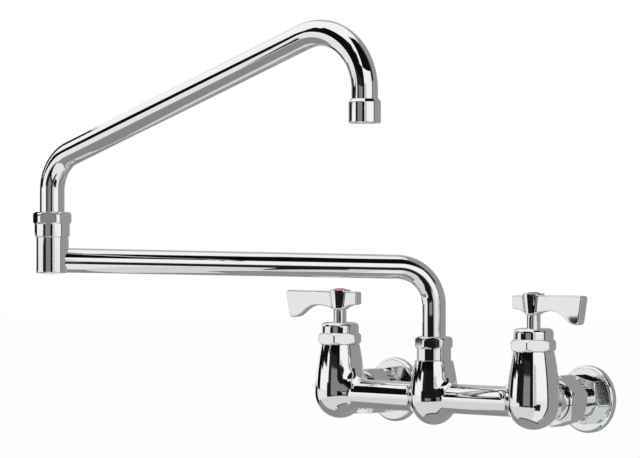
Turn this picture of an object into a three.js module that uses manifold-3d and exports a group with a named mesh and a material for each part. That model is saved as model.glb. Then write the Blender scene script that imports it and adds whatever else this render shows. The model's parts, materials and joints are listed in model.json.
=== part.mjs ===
// Commercial wall faucet: two quarter-turn lever valves on 8 inch centres and a double-jointed
// swing spout. Millimetres, +Z up. X runs along the wall and +Y points into it. The origin lies
// in the wall plane, midway between the two supply inlets, and the spout stands at its rest
// angles, swung out to the left and folded back to the right.
import * as THREE from 'three';
import { mergeVertices } from 'three/addons/utils/BufferGeometryUtils.js';
import Module from 'manifold-3d';

const wasm = await Module();
wasm.setup();
const { Manifold, Mesh: SolidMesh } = wasm;

// ---- Driving dimensions ----------------------------------------------------------------

const gap = 0.3;                    // clearance left between two pieces that touch
const overcut = 2;                  // how far a cutting tool runs past the face it opens

// Body casting
const inletCentres = 203.2;         // between the supply inlets, 8 inch
const wallStandoff = 70.5;          // wall face to the axes of the valves and the spout
const barrelDepth = 20.7;           // inlet axis to the rounded bottoms of the valve barrels
const spoutBarrelDrop = 0.9;        // how much lower the middle barrel reaches
const valveBarrel = { neckRadius: 16.1, bulbRadius: 20.6, top: 39.5, depth: barrelDepth };
const spoutBarrel = { neckRadius: 15.4, bulbRadius: 19.3, top: 29.3,
  depth: barrelDepth + spoutBarrelDrop };
const barrelTaper = 1.75;           // power of the taper from the bulb to the neck
const crossTubeRadius = 11.7;
const valveBlend = { top: 12, side: 4, bottom: 4.5 };   // reach of the cast blends
const spoutBlend = { top: 6.5, side: 3.5, bottom: 4.5 };
const bossBlend = { top: 2.5, side: 2.5, bottom: 2.5 };

// Waterways
const seatHeight = -2;              // floor of the cartridge chamber, above the inlet axis
const seatHoleRadius = 5;
const sumpDepth = 11;               // chamber under the seat
const inletBoreRadius = 8;
const inletBoreStop = 17;           // the bore ends this far behind the valve axis
const inletDrillRadius = 4.6;       // links the inlet bore to the chamber under the seat
const inletDrillHeight = -8.2;
const crossDuctRadius = 5.5;
const crossDuctHeight = 4;
const spoutWellRadius = 7.5;        // chamber under the spout socket
const spoutWellFloor = -4;

// Wall inlets, measured out from the wall
const flangeRadius = 26.6;
const flangeThickness = 6.2;
const flangeBevel = 2.2;
const flangeHexFlats = 35;
const flangeHexLength = 8.5;
const flangeHexChamfer = 0.9;
const flangeNeckRadius = 13.2;
const flangeNeckLength = 12;
const flangeHexAngles = [15, -14];  // where each flange came to rest on its pipe, left and right
const pipeSocketRadius = 10.3;      // for a 1/2 inch pipe thread
const pipeSocketDepth = 15.7;
const tailRadius = 11;              // tailpiece screwed into the flange
const tailBoreRadius = 7.5;
const tailCollarRadius = 13.2;
const tailCollarLength = 3.4;
const couplingFlats = 36.4;
const couplingLength = 18;
const couplingLip = 3.3;
const couplingChamfer = 1.2;
const couplingAngles = [3, 17.5];   // as tightened, left and right
const washerThickness = 1.4;
const threadRadius = 13.2;          // male thread on the body's inlet
const bossRadius = 15.1;
const bossRelief = 1;               // bare step between the coupling nut and the boss

// Valve cartridge
const chamberRadius = 10.6;
const ledgeHeight = 31;             // ledge that carries the cartridge flange
const recessRadius = 12.9;
const housingRise = 1.3;            // foot of the cartridge housing above the chamber floor
const housingRadius = 9.6;
const housingFlangeRadius = 12.6;
const housingFlangeLength = 2.7;
const housingNeckRadius = 8.5;
const housingNeckTop = 48;
const discBoreRadius = 8.5;
const discThickness = 2.5;
const discPortInner = 2.2;
const discPortOuter = 6.6;
const discPortAngle = 76;           // degrees that each port spans
const housingPort = { width: 8, low: 4.2, high: 9 };
const sealHeight = 2.7;
const sealWidth = 2.4;
const sealInset = 0.4;              // from the rim of the discs to the seal
const stemRadius = 5.4;
const stemFootLength = 2.5;
const driveDog = { width: 2.6, depth: 1.5, drop: 2.1 };
const oringGroove = { height: 42, width: 2.4, depth: 1.3 };
const bonnetRadius = 15.5;
const bonnetFlats = 31.4;
const bonnetHexLength = 9.3;
const bonnetChamfer = 2;
const bonnetCapLength = 8.6;
const bonnetRound = 3.6;
const bonnetWall = 4;
const bonnetBoreRadius = 9;
const bonnetAngles = [-64, -68];    // as tightened, left and right

// Lever handle
const stemExposed = 10.7;           // stem showing between the bonnet and the hub
const hubHeight = 16.2;
const hubBottomRadius = 6.6;
const hubTopRadius = 8.6;
const hubEdge = 0.6;
const socketRadius = 4.8;
const socketDepth = 7.6;
const socketWeb = 2;
const buttonRadius = 6;
const buttonSeatDepth = 3;
const buttonDome = 0.9;
const screwWellRadius = 4.1;
const screw = { headRadius: 3.5, headHeight: 2.4, crown: 0.9, shankRadius: 1.6, shankLength: 9.5,
  slotWidth: 0.9, slotDepth: 1.1 };
const leverAngle = 5;               // swung this far from the wall's line toward the user
const leverReach = 53.5;
const leverThickness = 7.7;
const leverBevel = 0.9;
const bladeDepth = 22.4;
const waistDepth = 11.6;
const waistReach = 21;
const stubReach = 19.6;
const stubDepth = 10.8;
const tipSlant = 3;
const leverLine = { drop: 1.6, tipLift: 0.6, tipRound: 3, tipSweep: 15, waistSweep: 14, waistTurn: 8,
  hubFoot: 2, stubSweep: 3, stubRound: 1 };

// Spout
const tubeRadius = 9.525;           // 3/4 inch tube
const tubeWall = 1.2;
const spoutNut = { skirtRadius: 13.7, skirtLength: 9.7, hexFlats: 27.4, hexLength: 9.5,
  trimRadius: 15, trimLow: 1.4, shoulder: 3, lip: 6 };
const nutThreadRadius = 12.2;       // male neck that the spout nut screws onto
const neckLength = 7.6;
const shankBoreRadius = 6.5;
const shankPlugRadius = 9.7;
const shankCollarRadius = 11.8;
const shankCollarLength = 3;
const shankLength = 16;
const spigotLength = 6;
const shankGroove = { height: 7, width: 3, depth: 2 };
const pivotNutAngle = -20;
const knuckleNutAngle = -24;
const lowerReach = 304.8;           // pivot axis to knuckle axis, 12 inch
const lowerHeight = 103.6;          // where the arm's line crosses the pivot axis
const lowerRise = 1.24;             // degrees
const lowerBend = 30.5;
const lowerSwing = 235.7;           // plan direction of the lower arm at rest, from +X
const knuckleRadius = 12.7;
const knuckleBottom = 98.9;
const knuckleTop = 128.1;
const knuckleCapRise = 1.6;         // of the shallow dome that closes the bottom
const knuckleFloor = 3;
const knuckleWellRadius = 8;
const knuckleDuctRadius = 7;        // from the arm's tube into the well
const upperReach = 304.8;           // knuckle axis to outlet axis, 12 inch
const upperHeight = 185.3;          // where the arm's line crosses the knuckle axis
const upperRise = 19.3;
const upperBend = 30;
const crownBend = 41.6;
const upperSwing = 4.5;             // plan direction of the upper arm at rest, from +X
const outletDrop = 24.2;            // end of the crown bend to the lowest edge of the aerator
const aerator = { radius: 11.6, height: 17.3, shoulder: 2.2, edge: 1.3, lip: 1.4, lipRadius: 8.2,
  insert: 3.6, washer: 1.6, washerWidth: 2 };
const jets = { size: 1.1, spacing: 3.3 };

// Facets
const medium = 12;                  // bores, seals and what is hidden
const fine = 20;                    // what shows

// ---- Geometry helpers --------------------------------------------------------------------

const radians = THREE.MathUtils.degToRad;
const point = (r, h) => new THREE.Vector2(r, h);

// A closed manifold from any closed three.js geometry, turned right side out.
function solid(geometry) {
  const bare = geometry.clone();
  for (const name of Object.keys(bare.attributes)) {
    if (name !== 'position') bare.deleteAttribute(name);
  }
  const merged = mergeVertices(bare, 1e-4);
  const xyz = merged.attributes.position.array;
  const index = Uint32Array.from(merged.index.array);
  const corner = (i) => new THREE.Vector3().fromArray(xyz, 3 * index[i]);
  let volume = 0;
  for (let i = 0; i < index.length; i += 3) {
    volume += corner(i).dot(corner(i + 1).cross(corner(i + 2)));
  }
  if (volume < 0) index.reverse();
  const mesh = new SolidMesh({ numProp: 3, vertProperties: Float32Array.from(xyz), triVerts: index });
  mesh.merge();
  return new Manifold(mesh);
}

function toGeometry(manifold) {
  const mesh = manifold.getMesh();
  const geometry = new THREE.BufferGeometry();
  geometry.setAttribute('position', new THREE.BufferAttribute(mesh.vertProperties, 3));
  geometry.setIndex(new THREE.BufferAttribute(mesh.triVerts, 1));
  const flat = geometry.toNonIndexed();
  flat.computeVertexNormals();
  return flat;
}

// A closed profile of [radius, height] points, turned about +Z.
function turned(profile, segments = medium) {
  const points = profile.map(([r, h]) => point(r, h));
  if (profile[0][0] > 0 || profile.at(-1)[0] > 0) points.push(points[0].clone());
  return solid(new THREE.LatheGeometry(points, segments).rotateX(Math.PI / 2));
}

const cylinder = (radius, low, high, segments = medium) =>
  turned([[0, low], [radius, low], [radius, high], [0, high]], segments);

// The corner radius of a faceted bore whose flats stand at the given radius, so that a round
// piece keeps its clearance in it however many facets either has.
const bored = (radius, segments = medium) => radius / Math.cos(Math.PI / segments);

const hole = (radius, low, high, segments = medium) =>
  cylinder(bored(radius, segments), low, high, segments);

function ring(inner, outer, low, high) {
  const bore = bored(inner);
  return turned([[bore, low], [outer, low], [outer, high], [bore, high]]);
}

// Points of an arc, [radius, height], from one angle to another in degrees.
function arc(centreR, centreH, size, from, to, steps) {
  const points = [];
  for (let i = 0; i <= steps; i += 1) {
    const a = radians(from + (to - from) * i / steps);
    points.push([centreR + size * Math.cos(a), centreH + size * Math.sin(a)]);
  }
  return points;
}

function box(width, depth, low, high) {
  return solid(new THREE.BoxGeometry(width, depth, high - low).translate(0, 0, (low + high) / 2));
}

// A hexagonal prism with a corner at the given plan angle.
function hexPrism(flats, low, high, angle = 0) {
  const shape = new THREE.Shape();
  const cornerRadius = flats / Math.sqrt(3);
  for (let i = 0; i < 6; i += 1) {
    const a = radians(angle + 60 * i);
    shape[i ? 'lineTo' : 'moveTo'](cornerRadius * Math.cos(a), cornerRadius * Math.sin(a));
  }
  shape.closePath();
  return solid(new THREE.ExtrudeGeometry(shape, { depth: high - low, bevelEnabled: false })
    .translate(0, 0, low));
}

// A hexagon whose ends are chamfered by a cone, which leaves the arched edges of a machined nut.
function chamferedHex(flats, low, high, angle, chamfer, lowChamfer = chamfer) {
  const cornerRadius = flats / Math.sqrt(3);
  const endRadius = flats / 2 - 0.1;
  const rise = (chamferHeight) => Math.max(chamferHeight, 0.01);
  const cone = turned([[0, low], [lowChamfer ? endRadius : cornerRadius, low],
    [cornerRadius + 0.1, low + rise(lowChamfer)], [cornerRadius + 0.1, high - rise(chamfer)],
    [endRadius, high], [0, high]], fine);
  return hexPrism(flats, low, high, angle).intersect(cone);
}

const turnAboutX = (manifold, degrees) => manifold.rotate([degrees, 0, 0]);

function joinAll(parts) {
  return parts.reduce((whole, part) => whole.add(part));
}

function cutAll(manifold, tools) {
  return tools.reduce((rest, tool) => rest.subtract(tool), manifold);
}

// A path of straight runs and arcs. Its stations fall on the joins, so that bends get many
// and straight runs only one.
class BentPath extends THREE.Curve {
  constructor() {
    super();
    this.stations = [];
  }

  line(to) {
    this.stations.push(to.clone());
    return this;
  }

  // Rounds the corner at a vertex, on the way from one direction to the next.
  bend(vertex, from, to, radius, steps) {
    const turn = from.angleTo(to);
    const tangent = radius * Math.tan(turn / 2);
    const start = vertex.clone().addScaledVector(from, -tangent);
    const normal = to.clone().addScaledVector(from, -to.dot(from)).normalize();
    for (let i = 0; i <= steps; i += 1) {
      const a = turn * i / steps;
      this.stations.push(start.clone().addScaledVector(from, radius * Math.sin(a))
        .addScaledVector(normal, radius * (1 - Math.cos(a))));
    }
    return this;
  }

  getUtoTmapping(u) {
    return u;
  }

  getPoint(t, target = new THREE.Vector3()) {
    const place = t * (this.stations.length - 1);
    const i = Math.min(Math.floor(place), this.stations.length - 2);
    return target.copy(this.stations[i]).lerp(this.stations[i + 1], place - i);
  }
}

// A solid through rings of points, each closed at its end by a fan about the ring's middle.
function loft(rings) {
  const count = rings[0].length;
  const vertices = rings.flat();
  const faces = [];
  for (let k = 0; k + 1 < rings.length; k += 1) {
    for (let i = 0; i < count; i += 1) {
      const [a, b] = [k * count + i, k * count + (i + 1) % count];
      faces.push(a, b, a + count, b, b + count, a + count);
    }
  }
  for (const [first, ends] of [[0, rings[0]], [(rings.length - 1) * count, rings.at(-1)]]) {
    const middle = new THREE.Vector3();
    for (const p of ends) middle.addScaledVector(p, 1 / count);
    vertices.push(middle);
    for (let i = 0; i < count; i += 1) {
      const [a, b] = [first + i, first + (i + 1) % count];
      faces.push(...(first ? [a, b, vertices.length - 1] : [b, a, vertices.length - 1]));
    }
  }
  const geometry = new THREE.BufferGeometry().setFromPoints(vertices);
  geometry.setIndex(faces);
  return solid(geometry);
}

// ---- Body casting ------------------------------------------------------------------------

// Outer radius of a pear-shaped barrel at a height above the inlet axis: an ellipse below,
// and above it a taper that starts upright and closes in to the neck.
function barrelRadius(barrel, height) {
  if (height < 0) {
    return barrel.bulbRadius * Math.sqrt(Math.max(0, 1 - (height / barrel.depth) ** 2));
  }
  const closed = (height / barrel.top) ** barrelTaper;
  return barrel.bulbRadius + (barrel.neckRadius - barrel.bulbRadius) * closed;
}

function barrelSolid(barrel, segments) {
  const bulbSteps = 5;
  const neckSteps = 4;
  const profile = [];
  for (let i = 0; i <= bulbSteps; i += 1) {
    const height = -barrel.depth * Math.cos(radians(90 * i / bulbSteps));
    profile.push([i ? barrelRadius(barrel, height) : 0, height]);
  }
  for (let i = 1; i <= neckSteps; i += 1) {
    const height = barrel.top * i / neckSteps;
    profile.push([barrelRadius(barrel, height), height]);
  }
  profile.push([0, barrel.top]);
  return turned(profile, segments);
}

// One line of the cast blend between a barrel and a level tube that runs out of it: from the
// barrel's wall to the tube's, tangent to both. Each point is [along, across, height].
function blendLine(barrel, tube, blend, angle, steps) {
  const [cosine, sine] = [Math.cos(angle), Math.sin(angle)];
  const upright = sine > 0 ? blend.top : blend.bottom;
  const reach = blend.side + (upright - blend.side) * Math.abs(sine);
  const across = (tube + reach) * cosine;
  const height = (tube + reach) * sine;
  const wall = barrelRadius(barrel, height);
  const out = Math.sqrt(wall * wall - across * across);
  const slope = (barrelRadius(barrel, height + 0.01) - barrelRadius(barrel, height - 0.01)) / 0.02;
  const [tubeAcross, tubeHeight] = [tube * cosine, tube * sine];
  const lean = across * (tubeAcross - across) - wall * slope * (tubeHeight - height);
  const corner = new THREE.Vector3(out - lean / out, tubeAcross, tubeHeight);
  const onWall = new THREE.Vector3(out, across, height);
  const onTube = corner.clone().setX(corner.x + corner.distanceTo(onWall));
  return new THREE.QuadraticBezierCurve3(onWall, corner, onTube).getPoints(steps);
}

// Rings of the blend, from well inside the barrel out to the plain tube.
function blendRings(barrel, tube, blend, sides, steps) {
  const inside = 0.35;
  const lines = [];
  for (let i = 0; i < sides; i += 1) {
    const line = blendLine(barrel, tube, blend, 2 * Math.PI * i / sides, steps);
    lines.push([line[0].clone().multiplyScalar(inside), ...line]);
  }
  return lines[0].map((_, k) => lines.map((line) => line[k]));
}

const toward = (rings, place) => rings.map((loop) => loop.map(place));

function faucetBody() {
  const valveX = inletCentres / 2;
  const steps = 3;
  const sides = 16;
  const atValve = (manifold, side) => manifold.translate([side * valveX, -wallStandoff, 0]);
  const parts = [];
  for (const side of [-1, 1]) {
    parts.push(atValve(barrelSolid(valveBarrel, fine), side));
    const fromValve = toward(blendRings(valveBarrel, crossTubeRadius, valveBlend, sides, steps),
      (p) => new THREE.Vector3(side * (valveX - p.x), p.y - wallStandoff, p.z));
    const fromSpout = toward(blendRings(spoutBarrel, crossTubeRadius, spoutBlend, sides, steps),
      (p) => new THREE.Vector3(side * p.x, p.y - wallStandoff, p.z));
    parts.push(loft([...fromValve, ...fromSpout.reverse()]));
    const boss = toward(blendRings(valveBarrel, bossRadius, bossBlend, sides, steps - 1),
      (p) => new THREE.Vector3(side * valveX + p.y, Math.min(p.x - wallStandoff, -inlet.bossFace), p.z));
    parts.push(loft(boss));
    parts.push(turnAboutX(cylinder(threadRadius, inlet.threadEnd, wallStandoff - chamberRadius), 90)
      .translate([side * valveX, 0, 0]));
  }
  const spoutPart = barrelSolid(spoutBarrel, fine)
    .add(cylinder(nutThreadRadius, 0, spoutBarrel.top + neckLength));
  parts.push(spoutPart.translate([0, -wallStandoff, 0]));

  const cuts = [];
  for (const side of [-1, 1]) {
    const chamber = joinAll([
      hole(chamberRadius, seatHeight, valveBarrel.top),
      hole(recessRadius, ledgeHeight, valveBarrel.top + overcut),
      hole(seatHoleRadius, seatHeight - sumpDepth, seatHeight + overcut),
    ]);
    cuts.push(atValve(chamber, side));
    const ductStart = chamberRadius / 2;
    const duct = hole(crossDuctRadius, ductStart, valveX)
      .rotate([0, 90, side < 0 ? 0 : 180]).translate([side * valveX, -wallStandoff, crossDuctHeight]);
    cuts.push(duct);
    const bore = hole(inletBoreRadius, inlet.threadEnd - overcut, wallStandoff - inletBoreStop);
    const drill = hole(inletDrillRadius, wallStandoff - inletBoreStop - overcut, wallStandoff)
      .translate([0, inletDrillHeight, 0]);
    cuts.push(turnAboutX(bore.add(drill), 90).translate([side * valveX, 0, 0]));
  }
  const well = hole(spoutWellRadius, spoutWellFloor, spoutBarrel.top)
    .add(hole(shankPlugRadius + gap, spoutBarrel.top - shank.below - gap,
      spoutBarrel.top + neckLength + overcut));
  cuts.push(well.translate([0, -wallStandoff, 0]));
  return cutAll(joinAll(parts), cuts);
}

// ---- Wall inlets, built along +Z as the distance from the wall ------------------------------

const flangeNeckEnd = flangeThickness + flangeHexLength + flangeNeckLength;
const inlet = {};
inlet.nutLow = flangeNeckEnd + gap;
inlet.nutHigh = inlet.nutLow + couplingLength;
inlet.lipEnd = inlet.nutLow + couplingLip;
inlet.collarLow = inlet.lipEnd + gap;
inlet.collarHigh = inlet.collarLow + tailCollarLength;
inlet.washerLow = inlet.collarHigh + gap;
inlet.washerHigh = inlet.washerLow + washerThickness;
inlet.threadEnd = inlet.washerHigh + gap;
inlet.bossFace = inlet.nutHigh + bossRelief;

function wallFlange(hexAngle) {
  const hexEnd = flangeThickness + flangeHexLength;
  const disc = turned([[0, 0], [flangeRadius, 0], [flangeRadius, flangeThickness - flangeBevel],
    [flangeRadius - flangeBevel / 2, flangeThickness - flangeBevel / 3],
    [flangeRadius - flangeBevel, flangeThickness], [0, flangeThickness]], fine + 4);
  const hex = chamferedHex(flangeHexFlats, flangeThickness - overcut, hexEnd, hexAngle,
    flangeHexChamfer, 0);
  const neck = cylinder(flangeNeckRadius, hexEnd - overcut, flangeNeckEnd);
  return cutAll(disc.add(hex).add(neck), [
    hole(pipeSocketRadius, -overcut, pipeSocketDepth),
    hole(tailRadius + gap, pipeSocketDepth - gap, flangeNeckEnd + overcut),
  ]);
}

function inletTail() {
  const low = pipeSocketDepth + gap;
  const bore = bored(tailBoreRadius);
  return turned([[bore, low], [tailRadius, low], [tailRadius, inlet.collarLow],
    [tailCollarRadius, inlet.collarLow], [tailCollarRadius, inlet.collarHigh],
    [bore, inlet.collarHigh]]);
}

function couplingNut(angle) {
  const hex = chamferedHex(couplingFlats, inlet.nutLow, inlet.nutHigh, angle, couplingChamfer);
  return cutAll(hex, [
    hole(tailRadius + gap, inlet.nutLow - overcut, inlet.nutHigh),
    hole(threadRadius + gap, inlet.lipEnd, inlet.nutHigh + overcut),
  ]);
}

const inletWasher = () => ring(tailBoreRadius, tailCollarRadius, inlet.washerLow, inlet.washerHigh);

// ---- Valve cartridge, bonnet and lever, built on the valve axis ------------------------------

const sealLow = seatHeight + gap;
const fixedDiscLow = sealLow + sealHeight + gap;
const turningDiscLow = fixedDiscLow + discThickness + gap;
const stemFootLow = turningDiscLow + discThickness + gap;
const stemFootHigh = stemFootLow + stemFootLength;
const housingLow = seatHeight + housingRise;
const housingFlangeLow = ledgeHeight + gap;
const housingFlangeHigh = housingFlangeLow + housingFlangeLength;
const discRadius = discBoreRadius - gap;
const bonnetLow = valveBarrel.top + gap;
const bonnetHexHigh = bonnetLow + bonnetHexLength;
const bonnetTop = bonnetHexHigh + bonnetCapLength;
const hubLow = bonnetTop + stemExposed;
const hubTop = hubLow + hubHeight;
const socketTop = hubLow + socketDepth;
const stemTop = socketTop - gap;

const sealOuter = discRadius - sealInset;

const seatSeal = () => ring(sealOuter - sealWidth, sealOuter, sealLow, sealLow + sealHeight);

// A sector of a ring, one of the two ports through a ceramic disc.
function discPort(middle, low, high) {
  const [from, to] = [radians(middle - discPortAngle / 2), radians(middle + discPortAngle / 2)];
  const shape = new THREE.Shape();
  shape.absarc(0, 0, discPortOuter, from, to, false);
  shape.absarc(0, 0, discPortInner, to, from, true);
  const depth = high - low;
  return solid(new THREE.ExtrudeGeometry(shape, { depth, bevelEnabled: false, curveSegments: 3 })
    .translate(0, 0, low));
}

function ceramicDisc(low, portAngle) {
  const high = low + discThickness;
  return cutAll(cylinder(discRadius, low, high), [0, 180].map((turn) =>
    discPort(portAngle + turn, low - overcut, high + overcut)));
}

const fixedDisc = () => ceramicDisc(fixedDiscLow, 0);

// The disc that the stem turns: its ports stand a quarter turn from the fixed ones when the
// valve is shut, and two notches in its rim take the stem's dogs.
function turningDisc() {
  const width = driveDog.width + 2 * gap;
  const reach = discRadius - driveDog.depth - gap;
  const notches = [-1, 1].map((side) => box(2 * overcut, width, turningDiscLow - overcut,
    turningDiscLow + discThickness + overcut).translate([side * (reach + overcut), 0, 0]));
  return cutAll(ceramicDisc(turningDiscLow, 90), notches);
}

function cartridgeHousing() {
  const discBore = bored(discBoreRadius);
  const stemBore = bored(stemRadius + gap);
  const shell = turned([[discBore, housingLow], [housingRadius, housingLow],
    [housingRadius, housingFlangeLow], [housingFlangeRadius, housingFlangeLow],
    [housingFlangeRadius, housingFlangeHigh], [housingNeckRadius, housingFlangeHigh],
    [housingNeckRadius, housingNeckTop], [stemBore, housingNeckTop],
    [stemBore, stemFootHigh + gap], [discBore, stemFootHigh + gap]]);
  const window = box(4 * chamberRadius, housingPort.width, housingPort.low, housingPort.high);
  return shell.subtract(window);
}

function valveStem() {
  const grooveLow = oringGroove.height;
  const grooveHigh = grooveLow + oringGroove.width;
  const grooveRadius = stemRadius - oringGroove.depth;
  const shaft = turned([[0, stemFootLow], [discRadius, stemFootLow], [discRadius, stemFootHigh],
    [stemRadius, stemFootHigh], [stemRadius, grooveLow], [grooveRadius, grooveLow],
    [grooveRadius, grooveHigh], [stemRadius, grooveHigh], [stemRadius, hubLow - gap],
    [socketRadius - gap, hubLow - gap], [socketRadius - gap, stemTop], [0, stemTop]]);
  const dogs = [-1, 1].map((side) => box(driveDog.depth, driveDog.width, stemFootLow - driveDog.drop,
    stemFootLow + 1).translate([side * (discRadius - driveDog.depth / 2 - 0.1), 0, 0]));
  const tapped = hole(screw.shankRadius + gap, socketTop + socketWeb - screw.shankLength,
    stemTop + overcut);
  return joinAll([shaft, ...dogs]).subtract(tapped);
}

// A rubber ring of oval section, lying in a groove.
function rubberRing(inner, outer, low, high) {
  const bore = bored(inner);
  const section = [];
  for (let i = 0; i < 6; i += 1) {
    const a = radians(60 * i);
    section.push([(bore + outer) / 2 + (outer - bore) / 2 * Math.cos(a),
      (low + high) / 2 + (high - low) / 2 * Math.sin(a) / Math.sin(radians(60))]);
  }
  return turned(section);
}

const stemOring = () => rubberRing(stemRadius - oringGroove.depth + gap, stemRadius,
  oringGroove.height + gap, oringGroove.height + oringGroove.width - gap);

function bonnet(angle) {
  const hex = chamferedHex(bonnetFlats, bonnetLow, bonnetHexHigh, angle, bonnetChamfer);
  const shoulder = arc(bonnetRadius - bonnetRound, bonnetTop - bonnetRound, bonnetRound, 0, 90, 3);
  const cap = turned([[0, bonnetHexHigh - overcut], [bonnetRadius, bonnetHexHigh - overcut],
    ...shoulder, [0, bonnetTop]], fine);
  const skirt = cylinder(recessRadius - gap, housingFlangeHigh + gap, bonnetLow + overcut);
  return cutAll(joinAll([hex, cap, skirt]), [
    hole(bonnetBoreRadius, housingFlangeHigh - overcut, bonnetTop - bonnetWall),
    hole(stemRadius + gap, bonnetTop - bonnetWall - overcut, bonnetTop + overcut),
  ]);
}

// Side view of the lever: [reach from the stem axis, height] with the blade ahead and the stub
// behind. The underside sweeps down from the waist to the deep tip.
function leverOutline() {
  const { tipRound, tipSweep, waistSweep, waistTurn, hubFoot, stubSweep, stubRound } = leverLine;
  const top = hubTop - leverLine.drop - leverBevel;
  const tipTop = top + leverLine.tipLift;
  const tipLow = tipTop - bladeDepth + 2 * leverBevel;
  const waist = top - waistDepth + 2 * leverBevel;
  const stubLow = top - stubDepth + 2 * leverBevel;
  const tip = leverReach - leverBevel;
  const tipFoot = tip - tipSlant;
  const stub = stubReach - leverBevel;
  const outline = new THREE.Shape();
  outline.moveTo(stubRound - stub, top);
  outline.lineTo(tip - tipRound / 2, tipTop);
  outline.quadraticCurveTo(tip, tipTop, tip, tipTop - tipRound / 2);
  outline.lineTo(tipFoot, tipLow + tipRound);
  outline.quadraticCurveTo(tipFoot, tipLow, tipFoot - tipRound, tipLow);
  outline.bezierCurveTo(tip - tipSweep, tipLow, waistReach + waistSweep, waist, waistReach, waist);
  outline.quadraticCurveTo(waistReach - waistTurn, waist, hubBottomRadius, hubLow + hubFoot);
  outline.lineTo(-hubBottomRadius, hubLow + hubFoot);
  outline.quadraticCurveTo(-hubTopRadius - stubSweep, stubLow, stubRound - stub, stubLow);
  outline.quadraticCurveTo(-stub, stubLow, -stub, stubLow + stubRound);
  outline.lineTo(-stub, top - stubRound);
  outline.quadraticCurveTo(-stub, top, stubRound - stub, top);
  return outline;
}

function leverHandle() {
  const plate = leverThickness - 2 * leverBevel;
  const blade = new THREE.ExtrudeGeometry(leverOutline(), { depth: plate, curveSegments: 2,
    bevelThickness: leverBevel, bevelSize: leverBevel, bevelSegments: 1 })
    .translate(0, 0, -plate / 2).rotateX(Math.PI / 2);
  const hub = turned([[0, hubLow], [hubBottomRadius - hubEdge, hubLow],
    [hubBottomRadius, hubLow + hubEdge], [hubTopRadius, hubTop - hubEdge],
    [hubTopRadius - hubEdge, hubTop], [0, hubTop]], fine);
  const web = socketTop + socketWeb;
  return cutAll(hub.add(solid(blade)), [
    hole(socketRadius, hubLow - overcut, socketTop),
    hole(screw.shankRadius + gap, socketTop - overcut, web + overcut),
    hole(screwWellRadius, web, hubTop),
    hole(buttonRadius + gap, hubTop - buttonSeatDepth, hubTop + overcut, fine),
  ]);
}

function handleScrew() {
  const low = socketTop + socketWeb + gap;
  const high = low + screw.headHeight;
  const end = low - screw.shankLength + gap;
  const pan = turned([[0, end], [screw.shankRadius, end], [screw.shankRadius, low],
    [screw.headRadius, low], [screw.headRadius, high - screw.crown], [screw.headRadius - screw.crown, high], [0, high]]);
  return pan.subtract(box(3 * screw.headRadius, screw.slotWidth, high - screw.slotDepth, high + overcut));
}

function indexButton() {
  const low = hubTop - buttonSeatDepth + gap;
  return turned([[0, low], [buttonRadius, low], [buttonRadius, hubTop],
    [buttonRadius - buttonDome, hubTop + buttonDome], [0, hubTop + buttonDome]], fine);
}

// ---- Swing spout ---------------------------------------------------------------------------

// Heights of a swivel, above the rim that its nut sits on.
const nutLow = gap;
const nutTop = nutLow + spoutNut.skirtLength + spoutNut.hexLength;
const nutLipLow = nutTop - spoutNut.lip;
const shank = {};
shank.collarLow = neckLength + gap;
shank.collarHigh = shank.collarLow + shankCollarLength;
shank.low = shank.collarLow - shankLength;
shank.below = -shank.low;
shank.high = shank.collarHigh + spigotLength;
shank.tubeEnd = shank.collarHigh + gap;
const tubeBore = tubeRadius - tubeWall;

function swivelNut(rim, angle) {
  const hexLow = rim + nutLow + spoutNut.skirtLength;
  const top = rim + nutTop;
  const skirt = turned([[0, rim + nutLow], [spoutNut.skirtRadius, rim + nutLow],
    [spoutNut.skirtRadius, hexLow + overcut], [0, hexLow + overcut]], fine);
  const trim = turned([[0, hexLow], [spoutNut.skirtRadius, hexLow],
    [spoutNut.trimRadius, hexLow + spoutNut.trimLow],
    ...arc(spoutNut.trimRadius - spoutNut.shoulder, top - spoutNut.shoulder, spoutNut.shoulder, 0, 90, 3),
    [0, top]], fine);
  const hex = hexPrism(spoutNut.hexFlats, hexLow, top, angle).intersect(trim);
  return cutAll(skirt.add(hex), [
    hole(nutThreadRadius + gap, rim, rim + nutLipLow),
    hole(tubeRadius + gap, rim + nutLipLow - overcut, top + overcut, fine),
  ]);
}

const glideRing = (rim) => ring(tubeRadius + gap, nutThreadRadius,
  rim + shank.tubeEnd, rim + nutLipLow - gap);

function spoutShank(rim) {
  const at = (h) => rim + h;
  const bore = bored(shankBoreRadius);
  const grooveLow = at(shank.low + shankGroove.height);
  const grooveHigh = grooveLow + shankGroove.width;
  const grooveRadius = shankPlugRadius - shankGroove.depth;
  return turned([[bore, at(shank.low)], [shankPlugRadius, at(shank.low)],
    [shankPlugRadius, grooveLow], [grooveRadius, grooveLow], [grooveRadius, grooveHigh],
    [shankPlugRadius, grooveHigh], [shankPlugRadius, at(shank.collarLow)],
    [shankCollarRadius, at(shank.collarLow)], [shankCollarRadius, at(shank.collarHigh)],
    [tubeBore - gap, at(shank.collarHigh)], [tubeBore - gap, at(shank.high)],
    [bore, at(shank.high)]]);
}

function shankOring(rim) {
  const low = rim + shank.low + shankGroove.height + gap;
  return rubberRing(shankPlugRadius - shankGroove.depth + gap, shankPlugRadius, low,
    low + shankGroove.width - 2 * gap);
}

function tube(path) {
  const circle = (radius, count) => Array.from({ length: count }, (_, i) => {
    const a = 2 * Math.PI * i / count;
    return point(radius * Math.cos(a), radius * Math.sin(a));
  });
  const section = new THREE.Shape(circle(tubeRadius, fine));
  section.holes.push(new THREE.Path(circle(bored(tubeBore), medium)));
  return solid(new THREE.ExtrudeGeometry(section,
    { steps: path.stations.length - 1, extrudePath: path, bevelEnabled: false }));
}

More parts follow.
